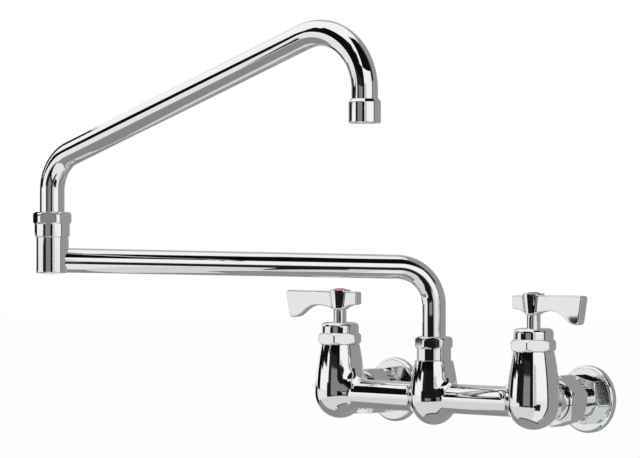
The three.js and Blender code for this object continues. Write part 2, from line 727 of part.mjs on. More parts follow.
// A point and a direction in the upright plane of an arm, +X along its reach.
const inPlane = (reach, height) => new THREE.Vector3(reach, 0, height);
const up = new THREE.Vector3(0, 0, 1);
const risingBy = (degrees) => inPlane(Math.cos(radians(degrees)), Math.sin(radians(degrees)));
const lowerLine = (reach) => inPlane(reach, lowerHeight + reach * Math.tan(radians(lowerRise)));
const lowerTubeEnd = lowerReach - knuckleWellRadius - 2 * gap;

function lowerTube() {
  const path = new BentPath();
  path.line(inPlane(0, spoutBarrel.top + shank.tubeEnd));
  path.bend(lowerLine(0), up, risingBy(lowerRise), lowerBend, 7);
  path.line(lowerLine(lowerTubeEnd));
  return tube(path);
}

// The turned body at the end of the lower arm, on the arm's own axis.
function knuckleBody() {
  const capLow = knuckleBottom;
  const outer = turned([[0, capLow], [knuckleRadius / 2, capLow + knuckleCapRise / 4],
    [knuckleRadius, capLow + knuckleCapRise], [knuckleRadius, knuckleTop], [nutThreadRadius, knuckleTop],
    [nutThreadRadius, knuckleTop + neckLength], [0, knuckleTop + neckLength]], fine);
  const socket = hole(tubeRadius + gap, knuckleWellRadius + gap, 3 * knuckleRadius, fine)
    .add(hole(knuckleDuctRadius, 0, knuckleWellRadius + gap + overcut))
    .rotate([0, -90 - lowerRise, 0]).translate([0, 0, lowerLine(lowerReach).z]);
  return cutAll(outer, [
    socket,
    hole(knuckleWellRadius, knuckleBottom + knuckleFloor, knuckleTop),
    hole(shankPlugRadius + gap, knuckleTop - shank.below - gap, knuckleTop + neckLength + overcut),
  ]).translate([lowerReach, 0, 0]);
}

function upperTube() {
  const rising = risingBy(upperRise);
  const path = new BentPath();
  path.line(inPlane(0, knuckleTop + shank.tubeEnd));
  path.bend(inPlane(0, upperHeight), up, rising, upperBend, 5);
  path.bend(crown, rising, up.clone().negate(), crownBend, 9);
  path.line(inPlane(upperReach, outlet.tubeEnd));
  return tube(path);
}

// ---- Outlet, built on the upper arm's outlet axis --------------------------------------------

// Where the lines of the rising arm and of the outlet cross, above the crown bend.
const crown = inPlane(upperReach, upperHeight + upperReach * Math.tan(radians(upperRise)));
const crownTurn = radians(90 + upperRise);
const outletHeight = crown.z - crownBend * Math.tan(crownTurn / 2) - outletDrop;
const outlet = {};
outlet.lipTop = outletHeight + aerator.lip;
outlet.insertLow = outlet.lipTop + gap;
outlet.insertHigh = outlet.insertLow + aerator.insert;
outlet.washerLow = outlet.insertHigh + gap;
outlet.washerHigh = outlet.washerLow + aerator.washer;
outlet.tubeEnd = outlet.washerHigh + gap;

function aeratorHousing() {
  const top = outletHeight + aerator.height;
  const bore = bored(tubeRadius + gap, fine);
  return turned([[aerator.lipRadius, outletHeight],
    ...arc(aerator.radius - aerator.edge, outletHeight + aerator.edge, aerator.edge, -90, 0, 2),
    [aerator.radius, top - aerator.shoulder], [bore + aerator.shoulder / 4, top], [bore, top],
    [bore, outlet.lipTop], [aerator.lipRadius, outlet.lipTop]], fine);
}

// A disc drilled with rings of jets.
function aeratorInsert() {
  const disc = new THREE.Shape();
  disc.absarc(0, 0, tubeRadius, 0, 2 * Math.PI, false);
  for (const [count, radius] of [[1, 0], [6, jets.spacing], [12, 2 * jets.spacing]]) {
    for (let i = 0; i < count; i += 1) {
      const a = 2 * Math.PI * i / count;
      const corners = [0, 1, 2, 3].map((k) => point(
        radius * Math.cos(a) + jets.size * Math.cos(a + k * Math.PI / 2),
        radius * Math.sin(a) + jets.size * Math.sin(a + k * Math.PI / 2)));
      disc.holes.push(new THREE.Path(corners));
    }
  }
  return solid(new THREE.ExtrudeGeometry(disc, { depth: aerator.insert, bevelEnabled: false,
    curveSegments: fine }).translate(0, 0, outlet.insertLow));
}

const aeratorWasher = () => ring(tubeRadius - aerator.washerWidth, tubeRadius,
  outlet.washerLow, outlet.washerHigh);

// ---- Assembly ------------------------------------------------------------------------------

const finishes = {
  chrome: [0xd8dadd, 0.08, 1],
  brass: [0xb99a55, 0.35, 1],
  ceramic: [0xf2f0ea, 0.3, 0],
  rubber: [0x1b1b1c, 0.8, 0],
  nylon: [0xe9e6dc, 0.55, 0],
  steel: [0xa9abad, 0.35, 1],
  redIndex: [0xc01f24, 0.35, 0],
  blueIndex: [0x1d4fa3, 0.35, 0],
};

function piece(name, manifold, finish) {
  const [color, roughness, metalness] = finishes[finish];
  const material = new THREE.MeshStandardMaterial({ color, roughness, metalness });
  const mesh = new THREE.Mesh(toGeometry(manifold), material);
  mesh.name = name;
  return mesh;
}

const faucet = new THREE.Group();
faucet.add(piece('faucet_body', faucetBody(), 'chrome'));

for (const [side, hand, index] of [[-1, 'left', 0], [1, 'right', 1]]) {
  const supply = new THREE.Group();
  supply.position.x = side * inletCentres / 2;
  supply.rotation.x = Math.PI / 2;
  supply.add(
    piece(`wall_flange_${hand}`, wallFlange(flangeHexAngles[index]), 'chrome'),
    piece(`inlet_tail_${hand}`, inletTail(), 'brass'),
    piece(`coupling_nut_${hand}`, couplingNut(couplingAngles[index]), 'chrome'),
    piece(`inlet_washer_${hand}`, inletWasher(), 'rubber'),
  );

  const valve = new THREE.Group();
  valve.position.set(side * inletCentres / 2, -wallStandoff, 0);
  valve.add(
    piece(`seat_seal_${hand}`, seatSeal(), 'rubber'),
    piece(`fixed_disc_${hand}`, fixedDisc(), 'ceramic'),
    piece(`cartridge_housing_${hand}`, cartridgeHousing(), 'brass'),
    piece(`bonnet_${hand}`, bonnet(bonnetAngles[index]), 'chrome'),
  );

  const handle = new THREE.Group();
  handle.rotation.z = radians(side < 0 ? 180 + leverAngle : -leverAngle);
  handle.add(
    piece(`turning_disc_${hand}`, turningDisc(), 'ceramic'),
    piece(`valve_stem_${hand}`, valveStem(), 'chrome'),
    piece(`stem_oring_${hand}`, stemOring(), 'rubber'),
    piece(`lever_handle_${hand}`, leverHandle(), 'chrome'),
    piece(`handle_screw_${hand}`, handleScrew(), 'steel'),
    piece(`index_button_${hand}`, indexButton(), side < 0 ? 'redIndex' : 'blueIndex'),
  );
  valve.add(handle);
  faucet.add(supply, valve);
}

const lowerArm = new THREE.Group();
lowerArm.position.y = -wallStandoff;
lowerArm.rotation.z = radians(lowerSwing);
lowerArm.add(
  piece('lower_shank', spoutShank(spoutBarrel.top), 'brass'),
  piece('lower_shank_oring', shankOring(spoutBarrel.top), 'rubber'),
  piece('lower_spout_tube', lowerTube(), 'chrome'),
  piece('knuckle_body', knuckleBody(), 'chrome'),
);

const pivot = new THREE.Group();
pivot.position.y = -wallStandoff;
pivot.add(
  piece('pivot_nut', swivelNut(spoutBarrel.top, pivotNutAngle), 'chrome'),
  piece('pivot_glide_ring', glideRing(spoutBarrel.top), 'nylon'),
);

const knuckle = new THREE.Group();
knuckle.position.x = lowerReach;
knuckle.rotation.z = radians(-lowerSwing);
knuckle.add(
  piece('knuckle_nut', swivelNut(knuckleTop, knuckleNutAngle), 'chrome'),
  piece('knuckle_glide_ring', glideRing(knuckleTop), 'nylon'),
);

const upperArm = new THREE.Group();
upperArm.rotation.z = radians(upperSwing);
upperArm.add(
  piece('upper_shank', spoutShank(knuckleTop), 'brass'),
  piece('upper_shank_oring', shankOring(knuckleTop), 'rubber'),
  piece('upper_spout_tube', upperTube(), 'chrome'),
);

const outletEnd = new THREE.Group();
outletEnd.position.x = upperReach;
outletEnd.add(
  piece('aerator_housing', aeratorHousing(), 'chrome'),
  piece('aerator_insert', aeratorInsert(), 'steel'),
  piece('aerator_washer', aeratorWasher(), 'rubber'),
);
upperArm.add(outletEnd);
knuckle.add(upperArm);
lowerArm.add(knuckle);
faucet.add(pivot, lowerArm);

export default faucet;
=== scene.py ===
import json
import math
import bmesh
import bpy
import numpy as np
from mathutils import Matrix, Vector


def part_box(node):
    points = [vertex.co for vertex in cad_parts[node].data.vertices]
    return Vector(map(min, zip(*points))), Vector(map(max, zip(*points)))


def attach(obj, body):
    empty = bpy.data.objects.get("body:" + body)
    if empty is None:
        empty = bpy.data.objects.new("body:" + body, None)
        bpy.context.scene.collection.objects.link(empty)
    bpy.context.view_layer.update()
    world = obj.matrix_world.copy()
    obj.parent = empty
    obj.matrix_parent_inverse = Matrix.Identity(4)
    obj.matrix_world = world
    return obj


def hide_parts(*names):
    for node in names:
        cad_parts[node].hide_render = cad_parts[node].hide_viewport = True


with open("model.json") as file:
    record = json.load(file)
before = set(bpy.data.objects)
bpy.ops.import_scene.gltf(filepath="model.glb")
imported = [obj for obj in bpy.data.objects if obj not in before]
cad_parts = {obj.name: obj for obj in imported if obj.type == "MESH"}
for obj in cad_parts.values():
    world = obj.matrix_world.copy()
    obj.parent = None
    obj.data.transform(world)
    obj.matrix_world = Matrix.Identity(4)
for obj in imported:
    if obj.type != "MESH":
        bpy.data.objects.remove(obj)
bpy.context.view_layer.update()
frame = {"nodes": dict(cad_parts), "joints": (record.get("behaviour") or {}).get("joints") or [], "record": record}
joints = {joint["name"]: joint for joint in frame["joints"]}
mm = 0.001
hands = {"left": -1, "right": 1}
pivotAxis = Vector(joints["lower_arm_swing"]["pos_m"]) / mm
knuckleAxis = Vector(joints["upper_arm_swing"]["pos_m"]) / mm
valveAxis = {hand: Vector(joints[f"handle_{hand}_turn"]["pos_m"]) / mm for hand in hands}
wallStandoff = -pivotAxis.y
valveSpread = valveAxis["right"].x
nodeSlot = {part["node"]: part["material_slot"] for part in frame["record"]["subparts"]}
bodyOf = {node: body for body, nodes in frame["record"]["behaviour"]["bodies"].items() for node in nodes}
print("frame:", len(frame["nodes"]), "nodes")

camera = {
    "place": (1.509, -1.8185, 0.137),
    "yaw": 43.05,            # degrees to the left of square on to the wall
    "dip": 0.07,             # degrees below level
    "focalPixels": 2900,
    "frameWidth": 640,
    "sensor": 36,
    "clipNear": 0.05,
    "clipFar": 60,
}


def makeCamera():
    data = bpy.data.cameras.new("camera")
    data.sensor_width = camera["sensor"]
    data.lens = camera["focalPixels"] / camera["frameWidth"] * camera["sensor"]
    data.clip_start = camera["clipNear"]
    data.clip_end = camera["clipFar"]
    eye = bpy.data.objects.new("camera", data)
    bpy.context.collection.objects.link(eye)
    eye.location = camera["place"]
    eye.rotation_euler = (math.radians(90 - camera["dip"]), 0, math.radians(camera["yaw"]))
    bpy.context.scene.camera = eye


makeCamera()
bpy.context.scene.view_settings.view_transform = "Standard"


class Wire:
    # an output socket that takes part in sums
    def __init__(self, graph, socket):
        self.graph = graph
        self.socket = socket

    def __add__(self, other):
        return self.graph.maths("ADD", self, other)

    def __radd__(self, other):
        return self.graph.maths("ADD", other, self)

    def __sub__(self, other):
        return self.graph.maths("SUBTRACT", self, other)

    def __rsub__(self, other):
        return self.graph.maths("SUBTRACT", other, self)

    def __mul__(self, other):
        return self.graph.maths("MULTIPLY", self, other)

    def __rmul__(self, other):
        return self.graph.maths("MULTIPLY", other, self)

    def __truediv__(self, other):
        return self.graph.maths("DIVIDE", self, other)

    def __rtruediv__(self, other):
        return self.graph.maths("DIVIDE", other, self)


class Graph:
    # a node tree that is written as calls and sums
    def __init__(self, tree):
        self.tree = tree
        tree.nodes.clear()

    def feed(self, socket, value):
        if isinstance(value, Wire):
            self.tree.links.new(value.socket, socket)
        else:
            socket.default_value = value

    def node(self, kind, settings=None, values=None, output=0):
        made = self.tree.nodes.new(kind)
        for name, value in (settings or {}).items():
            setattr(made, name, value)
        for name, value in (values or {}).items():
            self.feed(made.inputs[name], value)
        return Wire(self, made.outputs[output]) if len(made.outputs) else made

    def maths(self, operation, first, second=0.0, third=0.0):
        return self.node("ShaderNodeMath", {"operation": operation}, {0: first, 1: second, 2: third})


def noise(graph, place, scale, detail=2.0, roughness=0.5, stretch=(1, 1, 1)):
    mapped = graph.node("ShaderNodeMapping", None, {"Vector": place, "Scale": stretch})
    return graph.node("ShaderNodeTexNoise", None,
                      {"Vector": mapped, "Scale": scale, "Detail": detail, "Roughness": roughness})


def mixColours(graph, factor, first, second):
    # a Mix node takes its factor at 0 and two colours at 6 and 7, and gives the colour at 2
    return graph.node("ShaderNodeMix", {"data_type": "RGBA"},
                      {0: factor, 6: (*first, 1), 7: (*second, 1)}, 2)


def newMaterial(name):
    material = bpy.data.materials.new(name)
    material.use_nodes = True
    graph = Graph(material.node_tree)
    return material, graph, graph.node("ShaderNodeTexCoord", output="Object")


def finishMaterial(graph, values):
    surface = graph.node("ShaderNodeBsdfPrincipled", None, values)
    graph.node("ShaderNodeOutputMaterial", None, {"Surface": surface})


# plated finishes: two tones, gloss and haze of the polish, its slow waves, and the grain's stretch
plateLooks = {
    "castChrome": {"tone": (0.90, 0.915, 0.91), "drift": (0.86, 0.88, 0.875), "gloss": 0.05,
                   "haze": 0.03, "waveScale": 70, "waveHeight": 0.00004, "stretch": (1, 1, 1)},
    "turnedChrome": {"tone": (0.91, 0.92, 0.915), "drift": (0.87, 0.885, 0.88), "gloss": 0.04,
                     "haze": 0.03, "waveScale": 40, "waveHeight": 0.00001, "stretch": (0.1, 0.1, 3)},
    "tubeChrome": {"tone": (0.91, 0.905, 0.905), "drift": (0.87, 0.86, 0.865), "gloss": 0.035,
                   "haze": 0.025, "waveScale": 30, "waveHeight": 0.000006, "stretch": (1, 1, 1)},
    "leverChrome": {"tone": (0.91, 0.91, 0.91), "drift": (0.88, 0.88, 0.88), "gloss": 0.05,
                    "haze": 0.04, "waveScale": 60, "waveHeight": 0.00004, "stretch": (1, 1, 0.3)},
}


# what all plating shares: how fine its waves are, its grain and its smears
plating = {"waveDetail": 1.5, "grainScale": 1400, "grainDetail": 3.0, "grainRoughness": 0.65,
           "grainShare": 0.04, "smearScale": 45, "smearDetail": 4.0, "smearRoughness": 0.6}


def plate(name):
    look = plateLooks[name]
    material, graph, place = newMaterial(name)
    waves = noise(graph, place, look["waveScale"], plating["waveDetail"])
    grain = noise(graph, place, plating["grainScale"], plating["grainDetail"],
                  plating["grainRoughness"], look["stretch"])
    smears = noise(graph, place, plating["smearScale"], plating["smearDetail"], plating["smearRoughness"])
    height = waves + plating["grainShare"] * grain
    bump = graph.node("ShaderNodeBump", None,
                      {"Strength": 1.0, "Distance": look["waveHeight"], "Height": height})
    finishMaterial(graph, {
        "Base Color": mixColours(graph, smears, look["tone"], look["drift"]), "Metallic": 1.0,
        "Roughness": look["gloss"] + look["haze"] * (grain * smears), "Normal": bump})
    return material


# plain finishes: two tones, metallic, gloss and its spread, grain scale, height and stretch
plainLooks = {
    "brassMetal": ((0.72, 0.56, 0.28), (0.60, 0.45, 0.21), 1.0, 0.22, 0.2, 900, 0.00002, (1, 1, 0.05)),
    "ceramicWhite": ((0.90, 0.89, 0.86), (0.84, 0.83, 0.80), 0.0, 0.25, 0.15, 600, 0.00001, (1, 1, 1)),
    "blackRubber": ((0.018, 0.018, 0.019), (0.035, 0.035, 0.036), 0.0, 0.6, 0.2, 500, 0.00003, (1, 1, 1)),
    "bearingPlastic": ((0.86, 0.85, 0.80), (0.80, 0.79, 0.74), 0.0, 0.42, 0.15, 300, 0.00002, (1, 1, 1)),
    "stainlessMetal": ((0.58, 0.58, 0.58), (0.48, 0.48, 0.485), 1.0, 0.24, 0.2, 900, 0.00002, (1, 1, 0.08)),
    "redEnamel": ((0.62, 0.03, 0.045), (0.55, 0.02, 0.035), 0.0, 0.2, 0.1, 400, 0.00002, (1, 1, 1)),
    "blueEnamel": ((0.06, 0.12, 0.28), (0.05, 0.10, 0.24), 0.0, 0.2, 0.1, 400, 0.00002, (1, 1, 1)),
}


# what all plain finishes share: their grain and their patches of colour
plainGrain = {"detail": 3.0, "roughness": 0.6, "patchScale": 60, "patchDetail": 3.0}


def plain(name):
    tone, drift, metallic, gloss, spread, scale, height, stretch = plainLooks[name]
    material, graph, place = newMaterial(name)
    grain = noise(graph, place, scale, plainGrain["detail"], plainGrain["roughness"], stretch)
    patches = noise(graph, place, plainGrain["patchScale"], plainGrain["patchDetail"])
    bump = graph.node("ShaderNodeBump", None, {"Distance": height, "Height": grain})
    finishMaterial(graph, {
        "Base Color": mixColours(graph, patches, tone, drift), "Metallic": metallic,
        "Roughness": gloss + spread * grain, "Normal": bump})
    return material


materials = {name: plate(name) for name in plateLooks}
materials.update({name: plain(name) for name in plainLooks})
slotMaterial = {
    "cast_chrome": "castChrome", "turned_chrome": "turnedChrome", "tube_chrome": "tubeChrome",
    "lever_chrome": "leverChrome", "brass": "brassMetal", "ceramic": "ceramicWhite",
    "rubber": "blackRubber", "bearing_plastic": "bearingPlastic", "stainless": "stainlessMetal",
    "red_index": "redEnamel", "blue_index": "blueEnamel",
}


def materialOf(node):
    return materials[slotMaterial[nodeSlot[node]]]


for nodeName, nodeObject in frame["nodes"].items():
    nodeObject.data.materials.clear()
    nodeObject.data.materials.append(materialOf(nodeName))
print("materials:", len(materials))


def meshObject(name, vertices, faces, edges=()):
    mesh = bpy.data.meshes.new(name)
    mesh.from_pydata([tuple(v) for v in vertices], list(edges), [tuple(f) for f in faces])
    item = bpy.data.objects.new(name, mesh)
    bpy.context.collection.objects.link(item)
    return item


finish = {
    "mergeDistance": 0.0005,
    "sharpAngle": 38,        # degrees between faces, from which an edge is sharp
    "normalWeight": 60,
}


def faceOutward(item):
    work = bmesh.new()
    work.from_mesh(item.data)
    bmesh.ops.remove_doubles(work, verts=work.verts, dist=finish["mergeDistance"] * mm)
    bmesh.ops.recalc_face_normals(work, faces=work.faces)
    work.to_mesh(item.data)
    work.free()


def plainCopy(item):
    # the evaluated shape as a plain mesh, with the modifiers gone
    seen = item.evaluated_get(bpy.context.evaluated_depsgraph_get())
    mesh = bpy.data.meshes.new_from_object(seen)
    item.modifiers.clear()
    item.data = mesh
    return item


def settle(item, node, place=None, weighted=True):
    # a finished piece: its place, look, body and the node that it stands for
    if place is not None:
        item.data.transform(place)
    item.name = node.replace("_", "-")
    item.data.polygons.foreach_set("use_smooth", [True] * len(item.data.polygons))
    if weighted:
        item.data.set_sharp_from_angle(angle=math.radians(finish["sharpAngle"]))
        even = item.modifiers.new("evenNormals", "WEIGHTED_NORMAL")
        even.weight = finish["normalWeight"]
        even.keep_sharp = True
    item.data.materials.clear()
    item.data.materials.append(materialOf(node))
    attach(item, bodyOf[node])
    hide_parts(node)
    return item


def rounded(corners, steps=5):
    # an outline through corners (radius, height, fillet), in millimetres
    outline = []
    count = len(corners)
    for i, corner in enumerate(corners):
        here = np.array(corner[:2], float)
        if len(corner) < 3:
            outline.append(here)
            continue
        before = np.array(corners[i - 1][:2], float) - here
        after = np.array(corners[(i + 1) % count][:2], float) - here
        before /= np.linalg.norm(before)
        after /= np.linalg.norm(after)
        half = math.acos(max(-1, min(1, float(before @ after)))) / 2
        centre = here + (before + after) / np.linalg.norm(before + after) * corner[2] / math.sin(half)
        reach = corner[2] / math.tan(half)
        start, end = here + before * reach - centre, here + after * reach - centre
        turn = math.pi - 2 * half
        for k in range(steps + 1):
            first, second = math.sin((1 - k / steps) * turn), math.sin(k / steps * turn)
            outline.append(centre + (first * start + second * end) / math.sin(turn))
    return outline


def finely(outline, step):
    # extra points, so that no stretch is longer than a step
    points = []
    for here, after in zip(outline, outline[1:] + outline[:1]):
        cuts = max(1, math.ceil(np.linalg.norm(after - here) / step))
        points += [here + (after - here) * k / cuts for k in range(cuts)]
    return points


def lathe(name, outline, segments=96, phase=0.0):
    # turns an outline about Z; it closes on itself, or starts and ends on the axis
    onAxis = outline[0][0] < 1e-6
    rings = np.array(outline[1:-1] if onAxis else outline)
    angles = phase + np.arange(segments) * 2 * math.pi / segments
    vertices = np.stack([rings[:, :1] * np.cos(angles), rings[:, :1] * np.sin(angles),
                         np.repeat(rings[:, 1:], segments, 1)], -1).reshape(-1, 3)
    count = len(rings)
    faces = []
    for k in range(count - 1 if onAxis else count):
        for j in range(segments):
            a, b = k * segments + j, k * segments + (j + 1) % segments
            c, d = (k + 1) % count * segments + j, (k + 1) % count * segments + (j + 1) % segments
            faces.append((a, b, d, c))
    if onAxis:
        poles = np.array([[0, 0, outline[0][1]], [0, 0, outline[-1][1]]])
        vertices = np.concatenate([vertices, poles])
        last = (count - 1) * segments
        for j in range(segments):
            following = (j + 1) % segments
            faces.append((j, following, count * segments))
            faces.append((last + j, last + following, count * segments + 1))
    item = meshObject(name, vertices * mm, faces)
    faceOutward(item)
    return item


def turnedPiece(name, corners, segments=96, steps=5):
    return lathe(name, rounded(corners, steps), segments)


def standing(axis):
    return Matrix.Translation((axis.x * mm, axis.y * mm, 0))


def fromWall(hand):
    # turns +Z into the way out from the wall, at an inlet
    inlet = Matrix.Translation((hands[hand] * valveSpread * mm, 0, 0))
    return inlet @ Matrix.Rotation(math.radians(90), 4, "X")


class Tree(Graph):
    # a Geometry Nodes tree with named inputs, ending in Realize Instances and Set Material
    def __init__(self, name, inputs):
        group = bpy.data.node_groups.new(name, "GeometryNodeTree")
        super().__init__(group)
        group.interface.new_socket("Geometry", in_out="INPUT", socket_type="NodeSocketGeometry")
        for label, (kind, default) in inputs.items():
            socket = group.interface.new_socket(label, in_out="INPUT", socket_type="NodeSocket" + kind)
            if default is not None:
                socket.default_value = default
        group.interface.new_socket("Geometry", in_out="OUTPUT", socket_type="NodeSocketGeometry")
        self.entry = group.nodes.new("NodeGroupInput")

    def input(self, label):
        return Wire(self, self.entry.outputs[label])

    def finish(self, geometry):
        real = self.node("GeometryNodeRealizeInstances", None, {"Geometry": geometry})
        painted = self.node("GeometryNodeSetMaterial", None,
                            {"Geometry": real, "Material": self.input("Material")})
        self.node("NodeGroupOutput", None, {"Geometry": painted})

    def apply(self, item, values):
        modifier = item.modifiers.new(self.tree.name, "NODES")
        modifier.node_group = self.tree
        for socket in self.tree.interface.items_tree:
            if socket.in_out == "INPUT" and socket.name in values:
                modifier[socket.identifier] = values[socket.name]
        return plainCopy(item)


def makeHexTree():
    # mills a hexagon on a turned piece between two heights
    tree = Tree("millHexagon", {
        "Flats": ("Float", 0.03), "Corner": ("Float", 0.0),
        "Low": ("Float", 0.0), "High": ("Float", 1.0),
        "Corner Rounding": ("Float", 0.0008), "Edge Rounding": ("Float", 0.0004),
        "Material": ("Material", None)})
    place = tree.node("GeometryNodeInputPosition")
    x, y, z = [tree.node("ShaderNodeSeparateXYZ", None, {0: place}, axis) for axis in range(3)]
    angle = tree.maths("ARCTAN2", y, x) - tree.input("Corner")
    sixth = math.pi / 3
    fromMiddle = tree.maths("FLOORED_MODULO", angle, sixth) - sixth / 2
    half = tree.input("Flats") / 2
    flat = half / tree.maths("COSINE", fromMiddle)
    nextFlat = half / tree.maths("COSINE", sixth - tree.maths("ABSOLUTE", fromMiddle))
    limit = tree.maths("SMOOTH_MIN", flat, nextFlat, tree.input("Corner Rounding"))
    radius = tree.maths("SQRT", x * x + y * y)
    milled = tree.maths("SMOOTH_MIN", radius, limit, tree.input("Edge Rounding"))
    scale = milled / tree.maths("MAXIMUM", radius, 1e-6)
    moved = tree.node("ShaderNodeCombineXYZ", None, {0: x * scale, 1: y * scale, 2: z})
    above = tree.maths("GREATER_THAN", z, tree.input("Low"))
    below = tree.maths("LESS_THAN", z, tree.input("High"))
    tree.finish(tree.node("GeometryNodeSetPosition", None, {
        "Geometry": tree.input("Geometry"), "Selection": above * below, "Position": moved}))
    return tree


def makeTubeTree():
    # sweeps a round tube along a line of edges
    tree = Tree("sweepTube", {
        "Radius": ("Float", 0.01), "Sides": ("Int", 96), "Material": ("Material", None)})
    path = tree.node("GeometryNodeMeshToCurve", None, {"Mesh": tree.input("Geometry")})
    section = tree.node("GeometryNodeCurvePrimitiveCircle", {"mode": "RADIUS"},
                        {"Resolution": tree.input("Sides"), "Radius": tree.input("Radius")})
    tree.finish(tree.node("GeometryNodeCurveToMesh", None, {"Curve": path, "Profile Curve": section}))
    return tree


def makeJetTree():
    # drills a middle jet and two rings of jets through a disc
    drillSides = 16
    firstRing = 6
    tree = Tree("drillJets", {
        "Jet Radius": ("Float", 0.0008), "Spacing": ("Float", 0.0033), "Depth": ("Float", 0.02),
        "Height": ("Float", 0.2), "Material": ("Material", None)})
    middle = tree.node("ShaderNodeCombineXYZ", None, {2: tree.input("Height")})
    drill = tree.node("GeometryNodeMeshCylinder", {"fill_type": "NGON"}, {
        "Vertices": drillSides, "Radius": tree.input("Jet Radius"), "Depth": tree.input("Depth")})
    drills = [tree.node("GeometryNodeTransform", None, {"Geometry": drill, "Translation": middle})]
    for count in (firstRing, 2 * firstRing):
        ring = tree.node("GeometryNodeMeshCircle", None,
                         {"Vertices": count, "Radius": tree.input("Spacing") * (count / firstRing)})
        raised = tree.node("GeometryNodeTransform", None, {"Geometry": ring, "Translation": middle})
        drills.append(tree.node("GeometryNodeInstanceOnPoints", None, {"Points": raised, "Instance": drill}))
    cut = tree.tree.nodes.new("GeometryNodeMeshBoolean")
    cut.operation = "DIFFERENCE"
    tree.feed(cut.inputs["Mesh 1"], tree.input("Geometry"))
    for tool in drills:
        real = tree.node("GeometryNodeRealizeInstances", None, {"Geometry": tool})
        tree.feed(cut.inputs["Mesh 2"], real)
    tree.finish(Wire(tree, cut.outputs["Mesh"]))
    return tree


hexTree = makeHexTree()
tubeTree = makeTubeTree()
jetTree = makeJetTree()


# how every hexagon is milled
milling = {
    "rowStep": 0.35,
    "segments": 192,
    "cornerRound": 0.8,
    "edgeRound": 0.45,
    "faceInset": 0.1,        # the round end face lies this far within the flats
    "sliver": 0.01,          # keeps the milled range off the shoulder beside it
}


def hexPiece(node, corners, flats, corner, low, high, place, steps=5):
    # a turned piece with a hexagon: its facets follow the lathe's own rows
    outline = finely(rounded(corners, steps), milling["rowStep"])
    angle = math.radians(corner)
    item = lathe(node, outline, milling["segments"], angle)
    hexTree.apply(item, {
        "Flats": flats * mm, "Corner": angle, "Low": low * mm, "High": high * mm,
        "Corner Rounding": milling["cornerRound"] * mm, "Edge Rounding": milling["edgeRound"] * mm,
        "Material": materialOf(node)})
    return settle(item, node, place)


def gradient(field, points, step=0.02):
    slopes = []
    for axis in range(3):
        shift = np.zeros(3)
        shift[axis] = step
        slopes.append((field(points + shift) - field(points - shift)) / (2 * step))
    return np.stack(slopes, -1)


def surfaceNet(name, field, low, high, cell, pulls=4, leastSlope=0.05):
    # a mesh where the field is zero, with its corners pulled on to it
    counts = np.ceil((np.array(high) - low) / cell).astype(int) + 1
    axes = [low[i] + cell * np.arange(counts[i]) for i in range(3)]
    values = np.ones(counts)
    grid = np.stack(np.meshgrid(axes[1][1:-1], axes[2][1:-1], indexing="ij"), -1).reshape(-1, 2)
    for i in range(1, counts[0] - 1):
        points = np.column_stack([np.full(len(grid), axes[0][i]), grid])
        values[i, 1:-1, 1:-1] = field(points).reshape(counts[1:] - 2)
    inside = values < 0
    corners = np.array([[i, j, k] for i in (0, 1) for j in (0, 1) for k in (0, 1)])
    shape = counts - 1
    tally = np.zeros(shape, int)
    for corner in corners:
        tally += inside[tuple(slice(o, o + s) for o, s in zip(corner, shape))]
    cells = np.argwhere((tally > 0) & (tally < 8))
    number = -np.ones(shape, int)
    number[tuple(cells.T)] = np.arange(len(cells))
    total = np.zeros((len(cells), 3))
    hits = np.zeros(len(cells))
    for a in range(8):
        for b in range(a + 1, 8):
            if np.abs(corners[a] - corners[b]).sum() != 1:
                continue
            first = values[tuple((cells + corners[a]).T)]
            second = values[tuple((cells + corners[b]).T)]
            crosses = (first < 0) != (second < 0)
            share = np.where(crosses, first / np.where(crosses, first - second, 1), 0)
            total += (corners[a] + share[:, None] * (corners[b] - corners[a])) * crosses[:, None]
            hits += crosses
    points = np.array(low) + cell * (cells + total / hits[:, None])
    for _ in range(pulls):
        slope = gradient(field, points)
        move = field(points)[:, None] * slope / np.maximum((slope ** 2).sum(-1), leastSlope)[:, None]
        points -= np.clip(move, -cell / 2, cell / 2)
    faces = []
    for axis in range(3):
        ahead = np.eye(3, dtype=int)[axis]
        start = inside[tuple(slice(0, n - o) for n, o in zip(counts, ahead))]
        end = inside[tuple(slice(o, n) for n, o in zip(counts, ahead))]
        edges = np.argwhere(start != end)
        u, v = [np.eye(3, dtype=int)[(axis + k) % 3] for k in (1, 2)]
        quads = np.stack([number[tuple((edges - shift).T)] for shift in (0 * u, u, u + v, v)], -1)
        outward = start[tuple(edges.T)]
        faces.append(np.where(outward[:, None], quads, quads[:, ::-1]))
    return meshObject(name, points * mm, np.concatenate(faces))


def exactNormals(item, field, tolerance=0.06):
    # faces on the field's surface take its normals; machined faces keep their own
    mesh = item.data
    vertices = np.empty(len(mesh.vertices) * 3)
    mesh.vertices.foreach_get("co", vertices)
    vertices = vertices.reshape(-1, 3) / mm
    slope = gradient(field, vertices)
    slope /= np.maximum(np.linalg.norm(slope, axis=1), 1e-9)[:, None]
    centres = np.array([p.center for p in mesh.polygons]) / mm
    onSurface = np.abs(field(centres)) < tolerance
    normals = np.empty((len(mesh.loops), 3))
    for polygon in mesh.polygons:
        loops = list(polygon.loop_indices)
        normals[loops] = slope[list(polygon.vertices)] if onSurface[polygon.index] else polygon.normal
    mesh.polygons.foreach_set("use_smooth", [True] * len(mesh.polygons))
    mesh.normals_split_custom_set([tuple(n) for n in normals])


def smoothUnion(first, second, reach):
    share = np.maximum(reach - np.abs(first - second), 0) / reach
    return np.minimum(first, second) - share ** 2 * reach / 4


def roundedEdge(first, second, radius):
    # where two faces meet, in a field drawn a radius inside them
    outside = np.hypot(np.maximum(first, 0), np.maximum(second, 0))
    return outside + np.minimum(np.maximum(first, second), 0) - radius


def boring(radius, low, high, inner=0):
    # the outline of a round cutter, or of a ring cutter round an inner radius
    return [(inner, low), (radius, low), (radius, high), (inner, high)]


